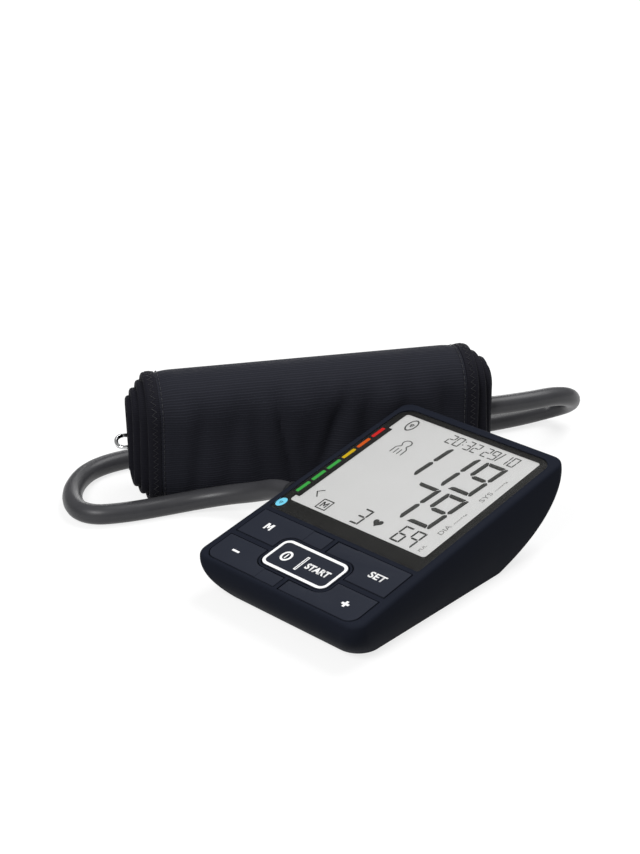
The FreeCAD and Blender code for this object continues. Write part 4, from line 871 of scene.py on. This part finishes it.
def along_turns(places, turn):
    """The value at a turn, from a list of (turn, value)."""
    for (before, low), (after, high) in zip(places, places[1:]):
        if turn <= after:
            share = max(0.0, (turn - before) / (after - before))
            return low + (high - low) * share
    return places[-1][1]


# Where the cloth ends at the roll's left and right: inner turns stand out further
LEFT_ENDS = [(0.0, -11.3), (2.2, -9.0), (4.2, -6.0), (6.2, -2.4), (7.4, -1.4)]
RIGHT_ENDS = [(0.0, 176.4), (2.2, 174.6), (4.1, 172.0), (4.75, 169.4), (6.0, 165.8), (7.4, 165.2)]


def roll_ends(turn):
    """The left and the right end of the cloth at a turn."""
    return along_turns(LEFT_ENDS, turn), along_turns(RIGHT_ENDS, turn)


def bell(value, middle, width):
    """1 at the middle, falling to 0 on both sides."""
    return math.exp(-((value - middle) / width) ** 2)


# Soft creases of the outer turn: place along the roll, width, depth share, lean, and how high up they start
CREASES = [
    (65.0, 3.2, 1.0, -0.2, 0.80), (90.0, 4.2, 1.0, 0.35, 0.80), (107.0, 4.6, 0.7, 0.05, 0.80),
    (126.5, 4.2, 0.9, 0.05, 0.82), (148.5, 4.0, 0.7, -0.05, 0.80), (22.7, 3.6, 0.45, 0.1, 0.80),
    (39.3, 4.2, 0.4, 0.1, 0.78), (52.0, 4.0, 0.45, -0.1, 0.78), (78.0, 5.0, 0.4, 0.1, 0.60),
    (10.0, 3.0, 0.35, 0.05, 0.78),
]
CREASE_FADE = 0.32


def crease_depth(along, height, turn):
    """How far the outer cloth goes in, as a share, at a place of the outer turn."""
    if turn < OUTER_TURN:
        return 0.0
    share = height / ROLL_HEIGHT
    total = 0.0
    for place, width, depth, lean, top in CREASES:
        fade = clamp((top + CREASE_FADE / 2 - share) / CREASE_FADE)
        total += depth * fade * bell(along, place + lean * (height - ROLL_HEIGHT / 2), width)
    drift = 0.25 * math.sin(along * 0.11 + 0.6) * math.sin(height * 0.09 + 1.1)
    drift += 0.15 * math.sin(along * 0.31 + height * 0.14)
    below_top = clamp((58.0 - height) / 10.0)
    above_floor = clamp((height - 3.0) / 9.0)
    return (total + drift * below_top) * above_floor


def axial_shares():
    """Shares of the width, close together near the hems."""
    shares = [0.0, 0.006, 0.014, 0.022, 0.03, 0.036, 0.042, 0.05, 0.062, 0.078]
    inner = [0.098 + (0.902 - 0.098) * index / 66 for index in range(67)]
    return shares + inner + [1 - share for share in reversed(shares)]


def sleeve_fullness(distance, hem):
    """Half the sleeve's thickness at a distance from its edge: pinched in the hem, full inside."""
    pinched, full, reach = 1.22, 1.74, 7.0
    groove_depth, groove_place, groove_width = 0.34, 1.0, 0.9
    groove = groove_depth * bell(distance, hem + groove_place, groove_width)
    swell = clamp((distance - hem) / reach)
    return pinched + (full - pinched) * swell * swell * (3 - 2 * swell) - groove


# Operators

class MONITOR_OT_stage(bpy.types.Operator):
    """Sets the camera, the floor and the light"""
    bl_idname = "monitor.stage"
    bl_label = "Stage"

    def execute(self, context):
        look = context.scene.monitor_stage
        self.camera(context.scene)
        self.floor(context.scene, look.floor)
        for name, place, aim, size, share in SOFTBOXES:
            self.softbox(context.scene, name, place, aim, size, look.softbox * share)
        world = bpy.data.worlds.new("surround")
        world.use_nodes = True
        background = world.node_tree.nodes["Background"].inputs
        background["Color"].default_value = (1, 1, 1, 1)
        background["Strength"].default_value = look.surround
        context.scene.world = world
        context.scene.view_settings.view_transform = "Standard"
        return {"FINISHED"}

    def camera(self, scene):
        """A camera that looks down at the object."""
        camera = bpy.data.cameras.new("camera")
        camera.sensor_width = 36.0
        camera.sensor_fit = "AUTO"
        camera.lens = CAMERA_LENS
        camera.clip_end = 50.0
        eye = bpy.data.objects.new("camera", camera)
        eye.location = CAMERA_PLACE
        eye.rotation_euler = [math.radians(angle) for angle in CAMERA_TURN]
        scene.collection.objects.link(eye)
        scene.camera = eye

    def floor(self, scene, colour):
        """A wide floor, which is no part of the object."""
        reach = 7.0
        corners = [(-reach, -reach, 0), (reach, -reach, 0), (reach, reach, 0), (-reach, reach, 0)]
        mesh = bpy.data.meshes.new("studio_floor")
        mesh.from_pydata(corners, [], [(0, 1, 2, 3)])
        mesh.materials.append(studio_floor("studio_floor", colour))
        ground = bpy.data.objects.new("studio_floor", mesh)
        scene.collection.objects.link(ground)

    def softbox(self, scene, name, place, aim, size, power):
        """A square light that looks at a point."""
        light = bpy.data.lights.new(name, "AREA")
        light.shape = "SQUARE"
        light.size = size
        light.energy = power
        lamp = bpy.data.objects.new(name, light)
        lamp.location = place
        lamp.rotation_euler = (Vector(aim) - Vector(place)).to_track_quat("-Z", "Y").to_euler()
        scene.collection.objects.link(lamp)


class MONITOR_OT_hose(bpy.types.Operator):
    """Lays the air hose from the cuff to the plug"""
    bl_idname = "monitor.hose"
    bl_label = "Air hose"

    def execute(self, context):
        look = context.scene.monitor_hose
        route = [in_roll(*point) for point in HOSE_BY_ROLL]
        route += [by_monitor(*point) for point in HOSE_ON_FLOOR]
        curve = bpy.data.curves.new("hose", "CURVE")
        curve.dimensions = "3D"
        curve.resolution_u = 10
        curve.bevel_depth = look.diameter / 2
        curve.bevel_resolution = 7
        curve.use_fill_caps = True
        line = curve.splines.new("NURBS")
        line.points.add(len(route) - 1)
        for point, place in zip(line.points, route):
            point.co = (*place, 1.0)
        line.order_u = 3
        line.use_endpoint_u = True
        curve.materials.append(hose_rubber("hose_rubber", look.rubber))
        hose = placed("hose", curve, "cuff")
        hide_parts("air_hose")
        finish_node(moulded_plastic("plug_plastic", srgb(30, 31, 34), 0.4), "hose_plug")
        return {"FINISHED"}


class MONITOR_OT_sleeve(bpy.types.Operator):
    """Rolls up the cuff's padded sleeve"""
    bl_idname = "monitor.sleeve"
    bl_label = "Cuff sleeve"

    def execute(self, context):
        look = context.scene.monitor_cuff
        line = roll_line()
        shares = axial_shares()
        points, ways = self.skin(look, line, shares)
        faces, chosen = self.quads(len(line), len(shares))
        fabric = ribbed_cloth("cuff_fabric", look.fabric, look.rib_pitch)
        lining = smooth_lining("cuff_lining", look.lining)
        sleeve = piece("cuff_sleeve", points, faces, [fabric, lining], "cuff", ways, chosen)
        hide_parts("cuff_outer_fabric", "cuff_lining", "cuff_padding", "cuff_bladder")
        return {"FINISHED"}

    def skin(self, look, line, shares):
        """Points of the outer and then the inner cloth, and the cloth lengths along and round the roll."""
        hem = look.hem_width / MM
        depth = look.wrinkle_depth / MM
        points = []
        ways = []
        for outward in (1, -1):
            for step in line:
                left, right = roll_ends(step.turn)
                left, right = left + EDGE_IN_TAPE, right - EDGE_IN_TAPE
                front = clamp(FRONT_SIDE - step.out_back)
                for share in shares:
                    along = left + (right - left) * share
                    edge = min(along - left, right - along)
                    half = sleeve_fullness(edge, hem)
                    if outward > 0:
                        loose = clamp((edge - hem) / SLACK_REACH) * front
                        half -= depth * loose * crease_depth(along, step.height, step.turn)
                        if step.turn > OUTER_TURN:
                            half += SLACK * loose
                    end = min(1.0, (line[-1].length - step.length) / END_TAPER, step.length / END_TAPER)
                    half *= END_SHARE + (1 - END_SHARE) * math.sqrt(max(0.0, end))
                    back = step.back + outward * step.out_back * half
                    up = max(FLOOR_GAP, step.height + outward * step.out_height * half)
                    points.append(in_roll(along, back, up))
                    ways.append((along * MM, step.length * MM))
        return points, ways

    def quads(self, rows, columns):
        """Faces of both cloths and of the edges between them, with the material that each one takes."""
        fabric, lining = 0, 1
        inner = rows * columns
        faces = []
        chosen = []
        for row in range(rows - 1):
            for column in range(columns - 1):
                a = row * columns + column
                b = a + inner
                faces.append([a, a + 1, a + columns + 1, a + columns])
                faces.append([b, b + columns, b + columns + 1, b + 1])
                chosen += [fabric, lining]
        for row in range(rows - 1):
            a = row * columns
            faces.append([a, a + columns, a + columns + inner, a + inner])
            a += columns - 1
            faces.append([a + inner, a + columns + inner, a + columns, a])
        for column in range(columns - 1):
            faces.append([column, column + 1, column + 1 + inner, column + inner])
        for column in range(columns - 1):
            a = (rows - 1) * columns + column
            faces.append([a + inner, a + 1 + inner, a + 1, a])
        chosen += [fabric] * (len(faces) - len(chosen))
        return faces, chosen


class MONITOR_OT_hems(bpy.types.Operator):
    """Binds both edges of the sleeve and sews them"""
    bl_idname = "monitor.hems"
    bl_label = "Cuff hems"

    def execute(self, context):
        look = context.scene.monitor_cuff
        hem = look.hem_width / MM
        line = roll_line()
        tape = grosgrain_tape("binding_tape", look.tape)
        thread = sewing_thread("hem_thread", look.thread)
        for name, right in (("left", False), ("right", True)):
            band = self.band(f"hem_tape_{name}", line, right, hem, tape)
            if not right:
                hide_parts("cuff_edge_binding")
            self.stitches(f"hem_stitches_{name}", line, right, hem, thread)
        return {"FINISHED"}

    def spot(self, step, right, inward, out):
        """A point on the band: inward from the edge of the cloth, and out from the sleeve's middle."""
        left_end, right_end = roll_ends(step.turn)
        along = right_end - inward if right else left_end + inward
        height = max(FLOOR_GAP, step.height + step.out_height * out)
        return in_roll(along, step.back + step.out_back * out, height)

    def band(self, name, line, right, hem, material):
        """A tape folded over one edge of the sleeve."""
        upper = [
            (hem + 0.25, 1.3), (hem, 1.6), (hem - 0.8, 1.72), (hem * 0.5, 1.66), (1.3, 1.62), (0.45, 1.25),
            (0.0, 0.55),
        ]
        profile = upper + [(-0.12, 0.0)] + [(inward, -out) for inward, out in reversed(upper)]
        count = len(profile)
        points = []
        ways = []
        for step in line:
            for inward, out in profile:
                points.append(self.spot(step, right, inward, out))
                ways.append((inward * MM, step.length * MM))
        faces = []
        for row in range(len(line) - 1):
            for column in range(count):
                a = row * count + column
                b = row * count + (column + 1) % count
                quad = [a, b, b + count, a + count]
                faces.append(quad[::-1] if right else quad)
        first = list(range(count))
        last = [(len(line) - 1) * count + index for index in first]
        faces.append(first if right else first[::-1])
        faces.append(last[::-1] if right else last)
        return piece(name, points, faces, [material], "cuff", ways)

    def stitches(self, name, line, right, hem, material):
        """A zigzag seam and a running seam on the outermost turn."""
        outer = [step for step in line if step.turn > SEAM_TURN]
        first = outer[0].length
        reach = outer[-1].length - first

        def at(length, inward, out):
            length = min(max(length, 0.0), reach) + first
            for before, after in zip(outer, outer[1:]):
                if after.length >= length:
                    share = (length - before.length) / (after.length - before.length)
                    mixed = Step(*[a + (b - a) * share for a, b in zip(before, after)])
                    return self.spot(mixed, right, inward, out)
            return self.spot(outer[-1], right, inward, out)

        pitch, near, far, level = 1.5, hem * 0.36, hem * 0.74, 1.78
        runs = [[at(index * pitch, near if index % 2 else far, level) for index in range(int(reach / pitch))]]
        dash, gap, inward = 2.0, 0.9, hem + 1.6
        arch = [(0.0, 1.22), (0.25, 1.62), (0.75, 1.62), (1.0, 1.22)]
        for index in range(int(reach / (dash + gap))):
            start = index * (dash + gap)
            runs.append([at(start + dash * share, inward, out) for share, out in arch])
        points = []
        faces = []
        for run in runs:
            self.thread(run, points, faces)
        return piece(name, points, faces, [material], "cuff")

    def thread(self, run, points, faces):
        """Adds a thin tube along a run of stitches, over the floor."""
        sides = 6
        radius = 0.17 * MM
        base = len(points)
        for spot in run:
            spot.z = max(spot.z, FLOOR_GAP * MM + radius)
        for index, spot in enumerate(run):
            way = (run[min(index + 1, len(run) - 1)] - run[max(index - 1, 0)]).normalized()
            across = way.cross(Vector((0.31, 0.17, 0.93))).normalized()
            other = way.cross(across)
            for side in range(sides):
                angle = 2 * math.pi * side / sides
                points.append(spot + radius * (math.cos(angle) * across + math.sin(angle) * other))
        for row in range(len(run) - 1):
            for side in range(sides):
                a = base + row * sides + side
                b = base + row * sides + (side + 1) % sides
                faces.append([a, a + sides, b + sides, b])
        end = base + (len(run) - 1) * sides
        faces.append([base + side for side in range(sides)])
        faces.append([end + side for side in reversed(range(sides))])


class MONITOR_OT_fittings(bpy.types.Operator):
    """Finishes the cuff's ring, port and hook patch"""
    bl_idname = "monitor.fittings"
    bl_label = "Cuff fittings"

    def execute(self, context):
        finish_node(bare_metal("ring_chrome", (0.78, 0.79, 0.8), 0.12, (1.0, 1.0, 8.0)), "d_ring")
        finish_node(moulded_plastic("port_plastic", srgb(34, 35, 38), 0.42), "cuff_port")
        self.hook_patch(hook_tape("hook_tape", srgb(26, 26, 30)))
        return {"FINISHED"}

    def hook_patch(self, material):
        """A thin patch on the back of the roll, uneven and lower at its edges."""
        columns, rows = 60, 12
        width = columns + 1
        layer = (rows + 1) * width
        points = []
        for outward, face in ((True, PATCH_FACE), (False, PATCH_BACK)):
            for row in range(rows + 1):
                for column in range(columns + 1):
                    along = PATCH_ENDS[0] + (PATCH_ENDS[1] - PATCH_ENDS[0]) * column / columns
                    height = PATCH_EDGES[0] + (PATCH_EDGES[1] - PATCH_EDGES[0]) * row / rows
                    end = clamp(min(column, columns - column) / 3)
                    edge = clamp(min(row, rows - row) / 2)
                    droop = 0.5 * (1 - end) + 0.4 * (1 - edge)
                    wave = 0.25 * math.sin(along * 0.16) * math.sin(height * 0.2)
                    points.append(in_roll(along, face + (wave - droop if outward else 0.0), height))
        faces = []
        for row in range(rows):
            for column in range(columns):
                a = row * width + column
                b = a + layer
                faces.append([a, a + width, a + width + 1, a + 1])
                faces.append([b, b + 1, b + width + 1, b + width])
        rim = list(range(columns))
        rim += [columns + row * width for row in range(rows)]
        rim += [rows * width + column for column in range(columns, 0, -1)]
        rim += [row * width for row in range(rows, 0, -1)]
        for a, b in zip(rim, rim[1:] + rim[:1]):
            faces.append([a, b, b + layer, a + layer])
        strip = piece("hook_patch", points, faces, [material], "cuff")
        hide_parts("hook_pad")


class MONITOR_OT_housing(bpy.types.Operator):
    """Finishes the housing, its feet, screws, socket and battery door"""
    bl_idname = "monitor.housing"
    bl_label = "Housing"

    def execute(self, context):
        look = context.scene.monitor_body
        shell = moulded_plastic("housing_plastic", look.housing, 0.5, 0.45, gloss=0.008)
        finish_node(shell, "top_housing", "bottom_housing")
        door = moulded_plastic("door_plastic", tone(look.housing, 0.95), 0.5, 0.6, gloss=0.008)
        finish_node(door, "battery_door")
        finish_node(soft_rubber("foot_rubber", srgb(24, 24, 26), 0.75), "rubber_feet")
        finish_node(bare_metal("screw_steel", (0.5, 0.5, 0.52), 0.3), "housing_screws", "board_screws")
        finish_node(moulded_plastic("socket_plastic", srgb(26, 27, 30), 0.4), "air_socket")
        return {"FINISHED"}


class MONITOR_OT_keys(bpy.types.Operator):
    """Makes the key caps and prints their labels"""
    bl_idname = "monitor.keys"
    bl_label = "Keys"

    def execute(self, context):
        look = context.scene.monitor_body
        plastic = moulded_plastic("key_plastic", look.keys, 0.5, 0.35, gloss=0.03)
        label = printed_ink("key_print", look.labels)
        for node in ("start_key", "memory_key", "minus_key", "set_key", "plus_key"):
            key_cap(node, plastic)

        def plate(name, outline, key):
            ink_plates(name, [outline], KEY_TOP, label, key)

        def ring(name, outer, inner):
            ink_ring(name, outer, inner, KEY_TOP, label, "start_key")

        def word(name, letters, middle, size, key, weight):
            lettering(name, letters, middle, size, KEY_TOP, label, key, weight)

        plate("memory_label", letter_m(-32.6, 32.55, 4.0, 4.5, 0.95), "memory_key")
        word("set_label", "SET", (32.65, 32.05), (8.9, 4.2), "set_key", 0.028)
        plate("minus_label", rounded_box(-34.75, -30.55, 10.3, 11.5, 0.2), "minus_key")
        plate("plus_label", plus_sign(33.1, 10.5, 1.95, 0.62), "plus_key")
        frame_outside = rounded_box(-19.1, 18.8, 11.5, 31.0, 4.1)
        ring("start_ring", frame_outside, rounded_box(-17.75, 17.45, 13.1, 29.4, 2.7))
        word("start_label", "START", (7.85, 20.9), (13.4, 4.2), "start_key", 0.045)
        ring("start_power_ring", oval(-10.87, 20.93, 5.5, 6.9), oval(-10.87, 20.93, 3.4, 4.7))
        plate("start_power_bar", rounded_box(-11.17, -10.57, 19.3, 22.6, 0.15), "start_key")
        divider_outside = rounded_box(-2.3, -0.85, 15.7, 25.9, 0.3)
        ring("start_divider", divider_outside, rounded_box(-1.8, -1.35, 16.2, 25.4, 0.1))
        return {"FINISHED"}


class MONITOR_OT_display(bpy.types.Operator):
    """Finishes the display and switches on its digits"""
    bl_idname = "monitor.display"
    bl_label = "Display"

    def execute(self, context):
        look = context.scene.monitor_body
        finish_node(clear_window("clear_window"), "display_lens")
        finish_node(printed_ink("border_print", look.border, 0.42), "lens_mask")
        finish_node(soft_rubber("gasket_foam", srgb(20, 20, 21), 0.9, 0.3), "lens_gasket")
        finish_node(panel_face("panel_face", look.panel), "lcd_panel")
        finish_node(moulded_plastic("panel_frame", srgb(228, 228, 224), 0.5), "lcd_frame")
        finish_node(soft_rubber("panel_strip", srgb(70, 70, 74), 0.6, 0.4), "lcd_connector")
        self.scale(look)
        self.digits(look)
        self.signs()
        return {"FINISHED"}

    def scale(self, look):
        """The six bars and the round mark beside the display."""
        level = MASK_TOP - INK + PRINT_RISE

        def on_border(name, outlines, height, ink):
            ink_plates(name, outlines, height, ink, "monitor")

        colours = [("low", look.good)] * 3
        colours += [("raised", look.raised), ("high", look.high), ("highest", look.highest)]
        made = {}
        for index, (name, colour) in enumerate(colours):
            if name not in made:
                made[name] = printed_ink(f"scale_{name}", colour, 0.35)
            start = 61.25 + index * 10.85
            bar = rounded_box(-43.2, -41.3, start + 0.05, start + 9.05, 0.5)
            on_border(f"scale_bar_{index + 1}", [bar], level, made[name])
        badge = printed_ink("badge_print", look.badge, 0.35)
        on_border("badge", [oval(-42.35, 50.95, 4.5, 6.9)], level, badge)
        mark = printed_ink("badge_mark", srgb(40, 70, 84), 0.4)
        arcs = waves(-42.35, 49.0, (0.9, 1.9, 2.9), 1.05, 1.65, 80, 0.42)
        on_border("badge_waves", arcs, MASK_TOP - INK + 2 * PRINT_RISE, mark)

    def digits(self, look):
        """The three readings, the memory number and the clock line."""
        big = dict(width=10.1, height=24.4, stroke_wide=2.4, stroke_high=2.65, lean=0.082)
        small = dict(width=4.5, height=11.1, stroke_wide=0.95, stroke_high=1.1, lean=0.05)
        line = dict(width=3.0, height=7.0, stroke_wide=0.6, stroke_high=0.66, lean=0.05)

        def bars(signs, low, form):
            return [bar for sign, left in signs for bar in digit(sign, left, low, **form)]

        dark = printed_ink("segments", look.segments, 0.55)
        panel_plates("upper_reading", bars([("1", -14.8), ("1", 1.3), ("9", 17.2)], 102.8, big), dark)
        panel_plates("lower_reading", bars([("7", 1.3), ("9", 17.2)], 73.1, big), dark)
        panel_plates("pulse_reading", bars([("6", 18.2), ("q", 25.0)], 57.35, small), dark)
        panel_plates("memory_number", bars([("3", -6.1)], 57.35, small), dark)
        date = [("2", -9.8), ("0", -5.5), ("3", 0.65), ("2", 5.15)]
        date += [("2", 11.4), ("9", 15.8), ("1", 22.5), ("0", 27.1)]
        clock = bars(date, 131.1, line)
        for along in (133.3, 136.2):
            clock.append(rounded_box(-1.05, -0.45, along, along + 0.7, 0.15, 3))
        clock += stroke([(20.1, 131.0), (21.5, 138.4)], 0.6)
        panel_plates("clock_line", clock, printed_ink("thin_segments", tone(look.segments, 1.5), 0.55))

    def signs(self):
        """The heart, the boxed M, the pointer, the figure, the round sign and the row names."""
        dark = bpy.data.materials["segments"]
        thin = bpy.data.materials["thin_segments"]
        panel_plates("heart_sign", [heart_shape(5.87, 63.2, 0.158, 0.186)], dark)
        box_outside = rounded_box(-27.0, -20.8, 56.6, 64.3, 0.4)
        panel_ring("memory_box", box_outside, rounded_box(-26.4, -21.4, 57.25, 63.65, 0.2), thin)
        panel_plates("memory_sign", [letter_m(-23.85, 60.35, 3.2, 4.1, 0.6)], dark)
        panel_plates("range_pointer", stroke([(-31.3, 69.3), (-34.0, 66.6), (-31.3, 63.2)], 0.6), thin)
        left_side = [
            (-27.1, 110.6), (-27.1, 115.3), (-26.6, 116.2), (-25.4, 117.2), (-25.35, 117.9),
            (-26.2, 119.4)]
        head = oval(-23.9, 119.9, 4.7, 5.3, 16, math.radians(190), math.radians(-200))
        right_side = [(-22.3, 117.9), (-22.25, 117.2), (-21.2, 116.2), (-20.6, 115.3), (-20.6, 110.6)]
        plates = stroke(left_side + head + right_side, 0.55)
        for x in (-24.9, -22.9):
            plates += stroke([(x, 110.6), (x, 115.0)], 0.5)
        panel_plates("user_sign", plates, thin)
        panel_ring("link_sign", oval(-32.3, 133.8, 5.4, 10.0), oval(-32.3, 133.8, 4.0, 8.2), thin)
        panel_plates("link_waves", waves(-32.3, 131.6, (1.0, 1.9, 2.8), 1.1, 2.3, 84, 0.6), thin)
        faint = printed_ink("row_names", srgb(112, 112, 110), 0.55)
        for name, letters, x, start, end, size in (
                ("upper_name", "SYS", 34.7, 101.4, 109.6, 2.5), ("lower_name", "DIA", 34.5, 71.8, 79.4, 2.5),
                ("pulse_name", "PUL", 34.7, 57.2, 62.2, 1.5), ("upper_unit", "mmHg", 35.4, 111.6, 120.6, 1.1),
                ("lower_unit", "mmHg", 35.4, 81.4, 90.4, 1.1)):
            middle = (x, (start + end) / 2)
            lettering(
                name, letters, middle, (end - start, size), LCD_TOP, faint, "monitor", 0.0,
                turned=True)


class MONITOR_OT_inner_works(bpy.types.Operator):
    """Finishes the pieces inside the housing"""
    bl_idname = "monitor.inner_works"
    bl_label = "Inner works"

    def execute(self, context):
        finish_node(soft_rubber("keypad_rubber", srgb(96, 98, 102), 0.65), "keypad_mat")
        finish_node(board_laminate("board_laminate", srgb(28, 92, 58)), "main_board")
        chip = moulded_plastic("chip_black", srgb(26, 26, 28), 0.55, 0.25)
        finish_node(chip, "controller_chip", "pressure_sensor")
        finish_node(bare_metal("shield_metal", (0.62, 0.63, 0.64), 0.28, (1.0, 20.0, 1.0)), "radio_module")
        finish_node(cell_jacket("cell_jacket"), "battery_cells")
        contact = bare_metal("contact_metal", (0.72, 0.71, 0.66), 0.24, (20.0, 1.0, 1.0))
        finish_node(contact, "battery_contacts")
        motor = bare_metal("motor_metal", (0.6, 0.61, 0.62), 0.3, (1.0, 20.0, 20.0))
        finish_node(motor, "pump_motor", "pump_crank")
        pump = moulded_plastic("pump_plastic", srgb(214, 213, 206), 0.45)
        finish_node(pump, "pump_head", "air_manifold", "exhaust_valve")
        finish_node(soft_rubber("diaphragm_rubber", srgb(44, 44, 46), 0.6), "pump_diaphragm", "pump_sleeve")
        tube = soft_rubber("inner_tube", srgb(196, 192, 180), 0.45)
        finish_node(tube, "pump_tube", "socket_tube", "sensor_tube")
        finish_node(bare_metal("plunger_metal", (0.68, 0.68, 0.7), 0.25), "valve_plunger")
        finish_node(soft_rubber("bladder_rubber", srgb(58, 58, 62), 0.55), "cuff_bladder")
        finish_node(fleece("padding_fleece", srgb(180, 178, 172)), "cuff_padding")
        return {"FINISHED"}


class MONITOR_PT_panel(bpy.types.Panel):
    """Lists the pieces in the sidebar"""
    bl_label = "Blood pressure monitor"
    bl_idname = "MONITOR_PT_panel"
    bl_space_type = "VIEW_3D"
    bl_region_type = "UI"
    bl_category = "Monitor"

    def draw(self, context):
        for operator in OPERATORS:
            self.layout.operator(operator.bl_idname)
        for name in SETTINGS:
            group = getattr(context.scene, name)
            for setting in group.__annotations__:
                self.layout.prop(group, setting)


SETTINGS = {
    "monitor_body": MonitorSettings,
    "monitor_cuff": CuffSettings,
    "monitor_hose": HoseSettings,
    "monitor_stage": StageSettings,
}
OPERATORS = (
    MONITOR_OT_stage, MONITOR_OT_hose, MONITOR_OT_sleeve, MONITOR_OT_hems, MONITOR_OT_fittings,
    MONITOR_OT_housing, MONITOR_OT_keys, MONITOR_OT_display, MONITOR_OT_inner_works,
)


def register():
    for group in SETTINGS.values():
        bpy.utils.register_class(group)
    for name, group in SETTINGS.items():
        setattr(bpy.types.Scene, name, bpy.props.PointerProperty(type=group))
    for operator in OPERATORS:
        bpy.utils.register_class(operator)
    bpy.utils.register_class(MONITOR_PT_panel)


def unregister():
    bpy.utils.unregister_class(MONITOR_PT_panel)
    for operator in reversed(OPERATORS):
        bpy.utils.unregister_class(operator)
    for name in SETTINGS:
        delattr(bpy.types.Scene, name)
    for group in reversed(list(SETTINGS.values())):
        bpy.utils.unregister_class(group)


def main():
    register()
    bpy.ops.monitor.stage()
    bpy.ops.monitor.hose()
    bpy.ops.monitor.sleeve()
    bpy.ops.monitor.hems()
    bpy.ops.monitor.fittings()
    bpy.ops.monitor.housing()
    bpy.ops.monitor.keys()
    bpy.ops.monitor.display()
    bpy.ops.monitor.inner_works()


if __name__ == "__main__":
    main()
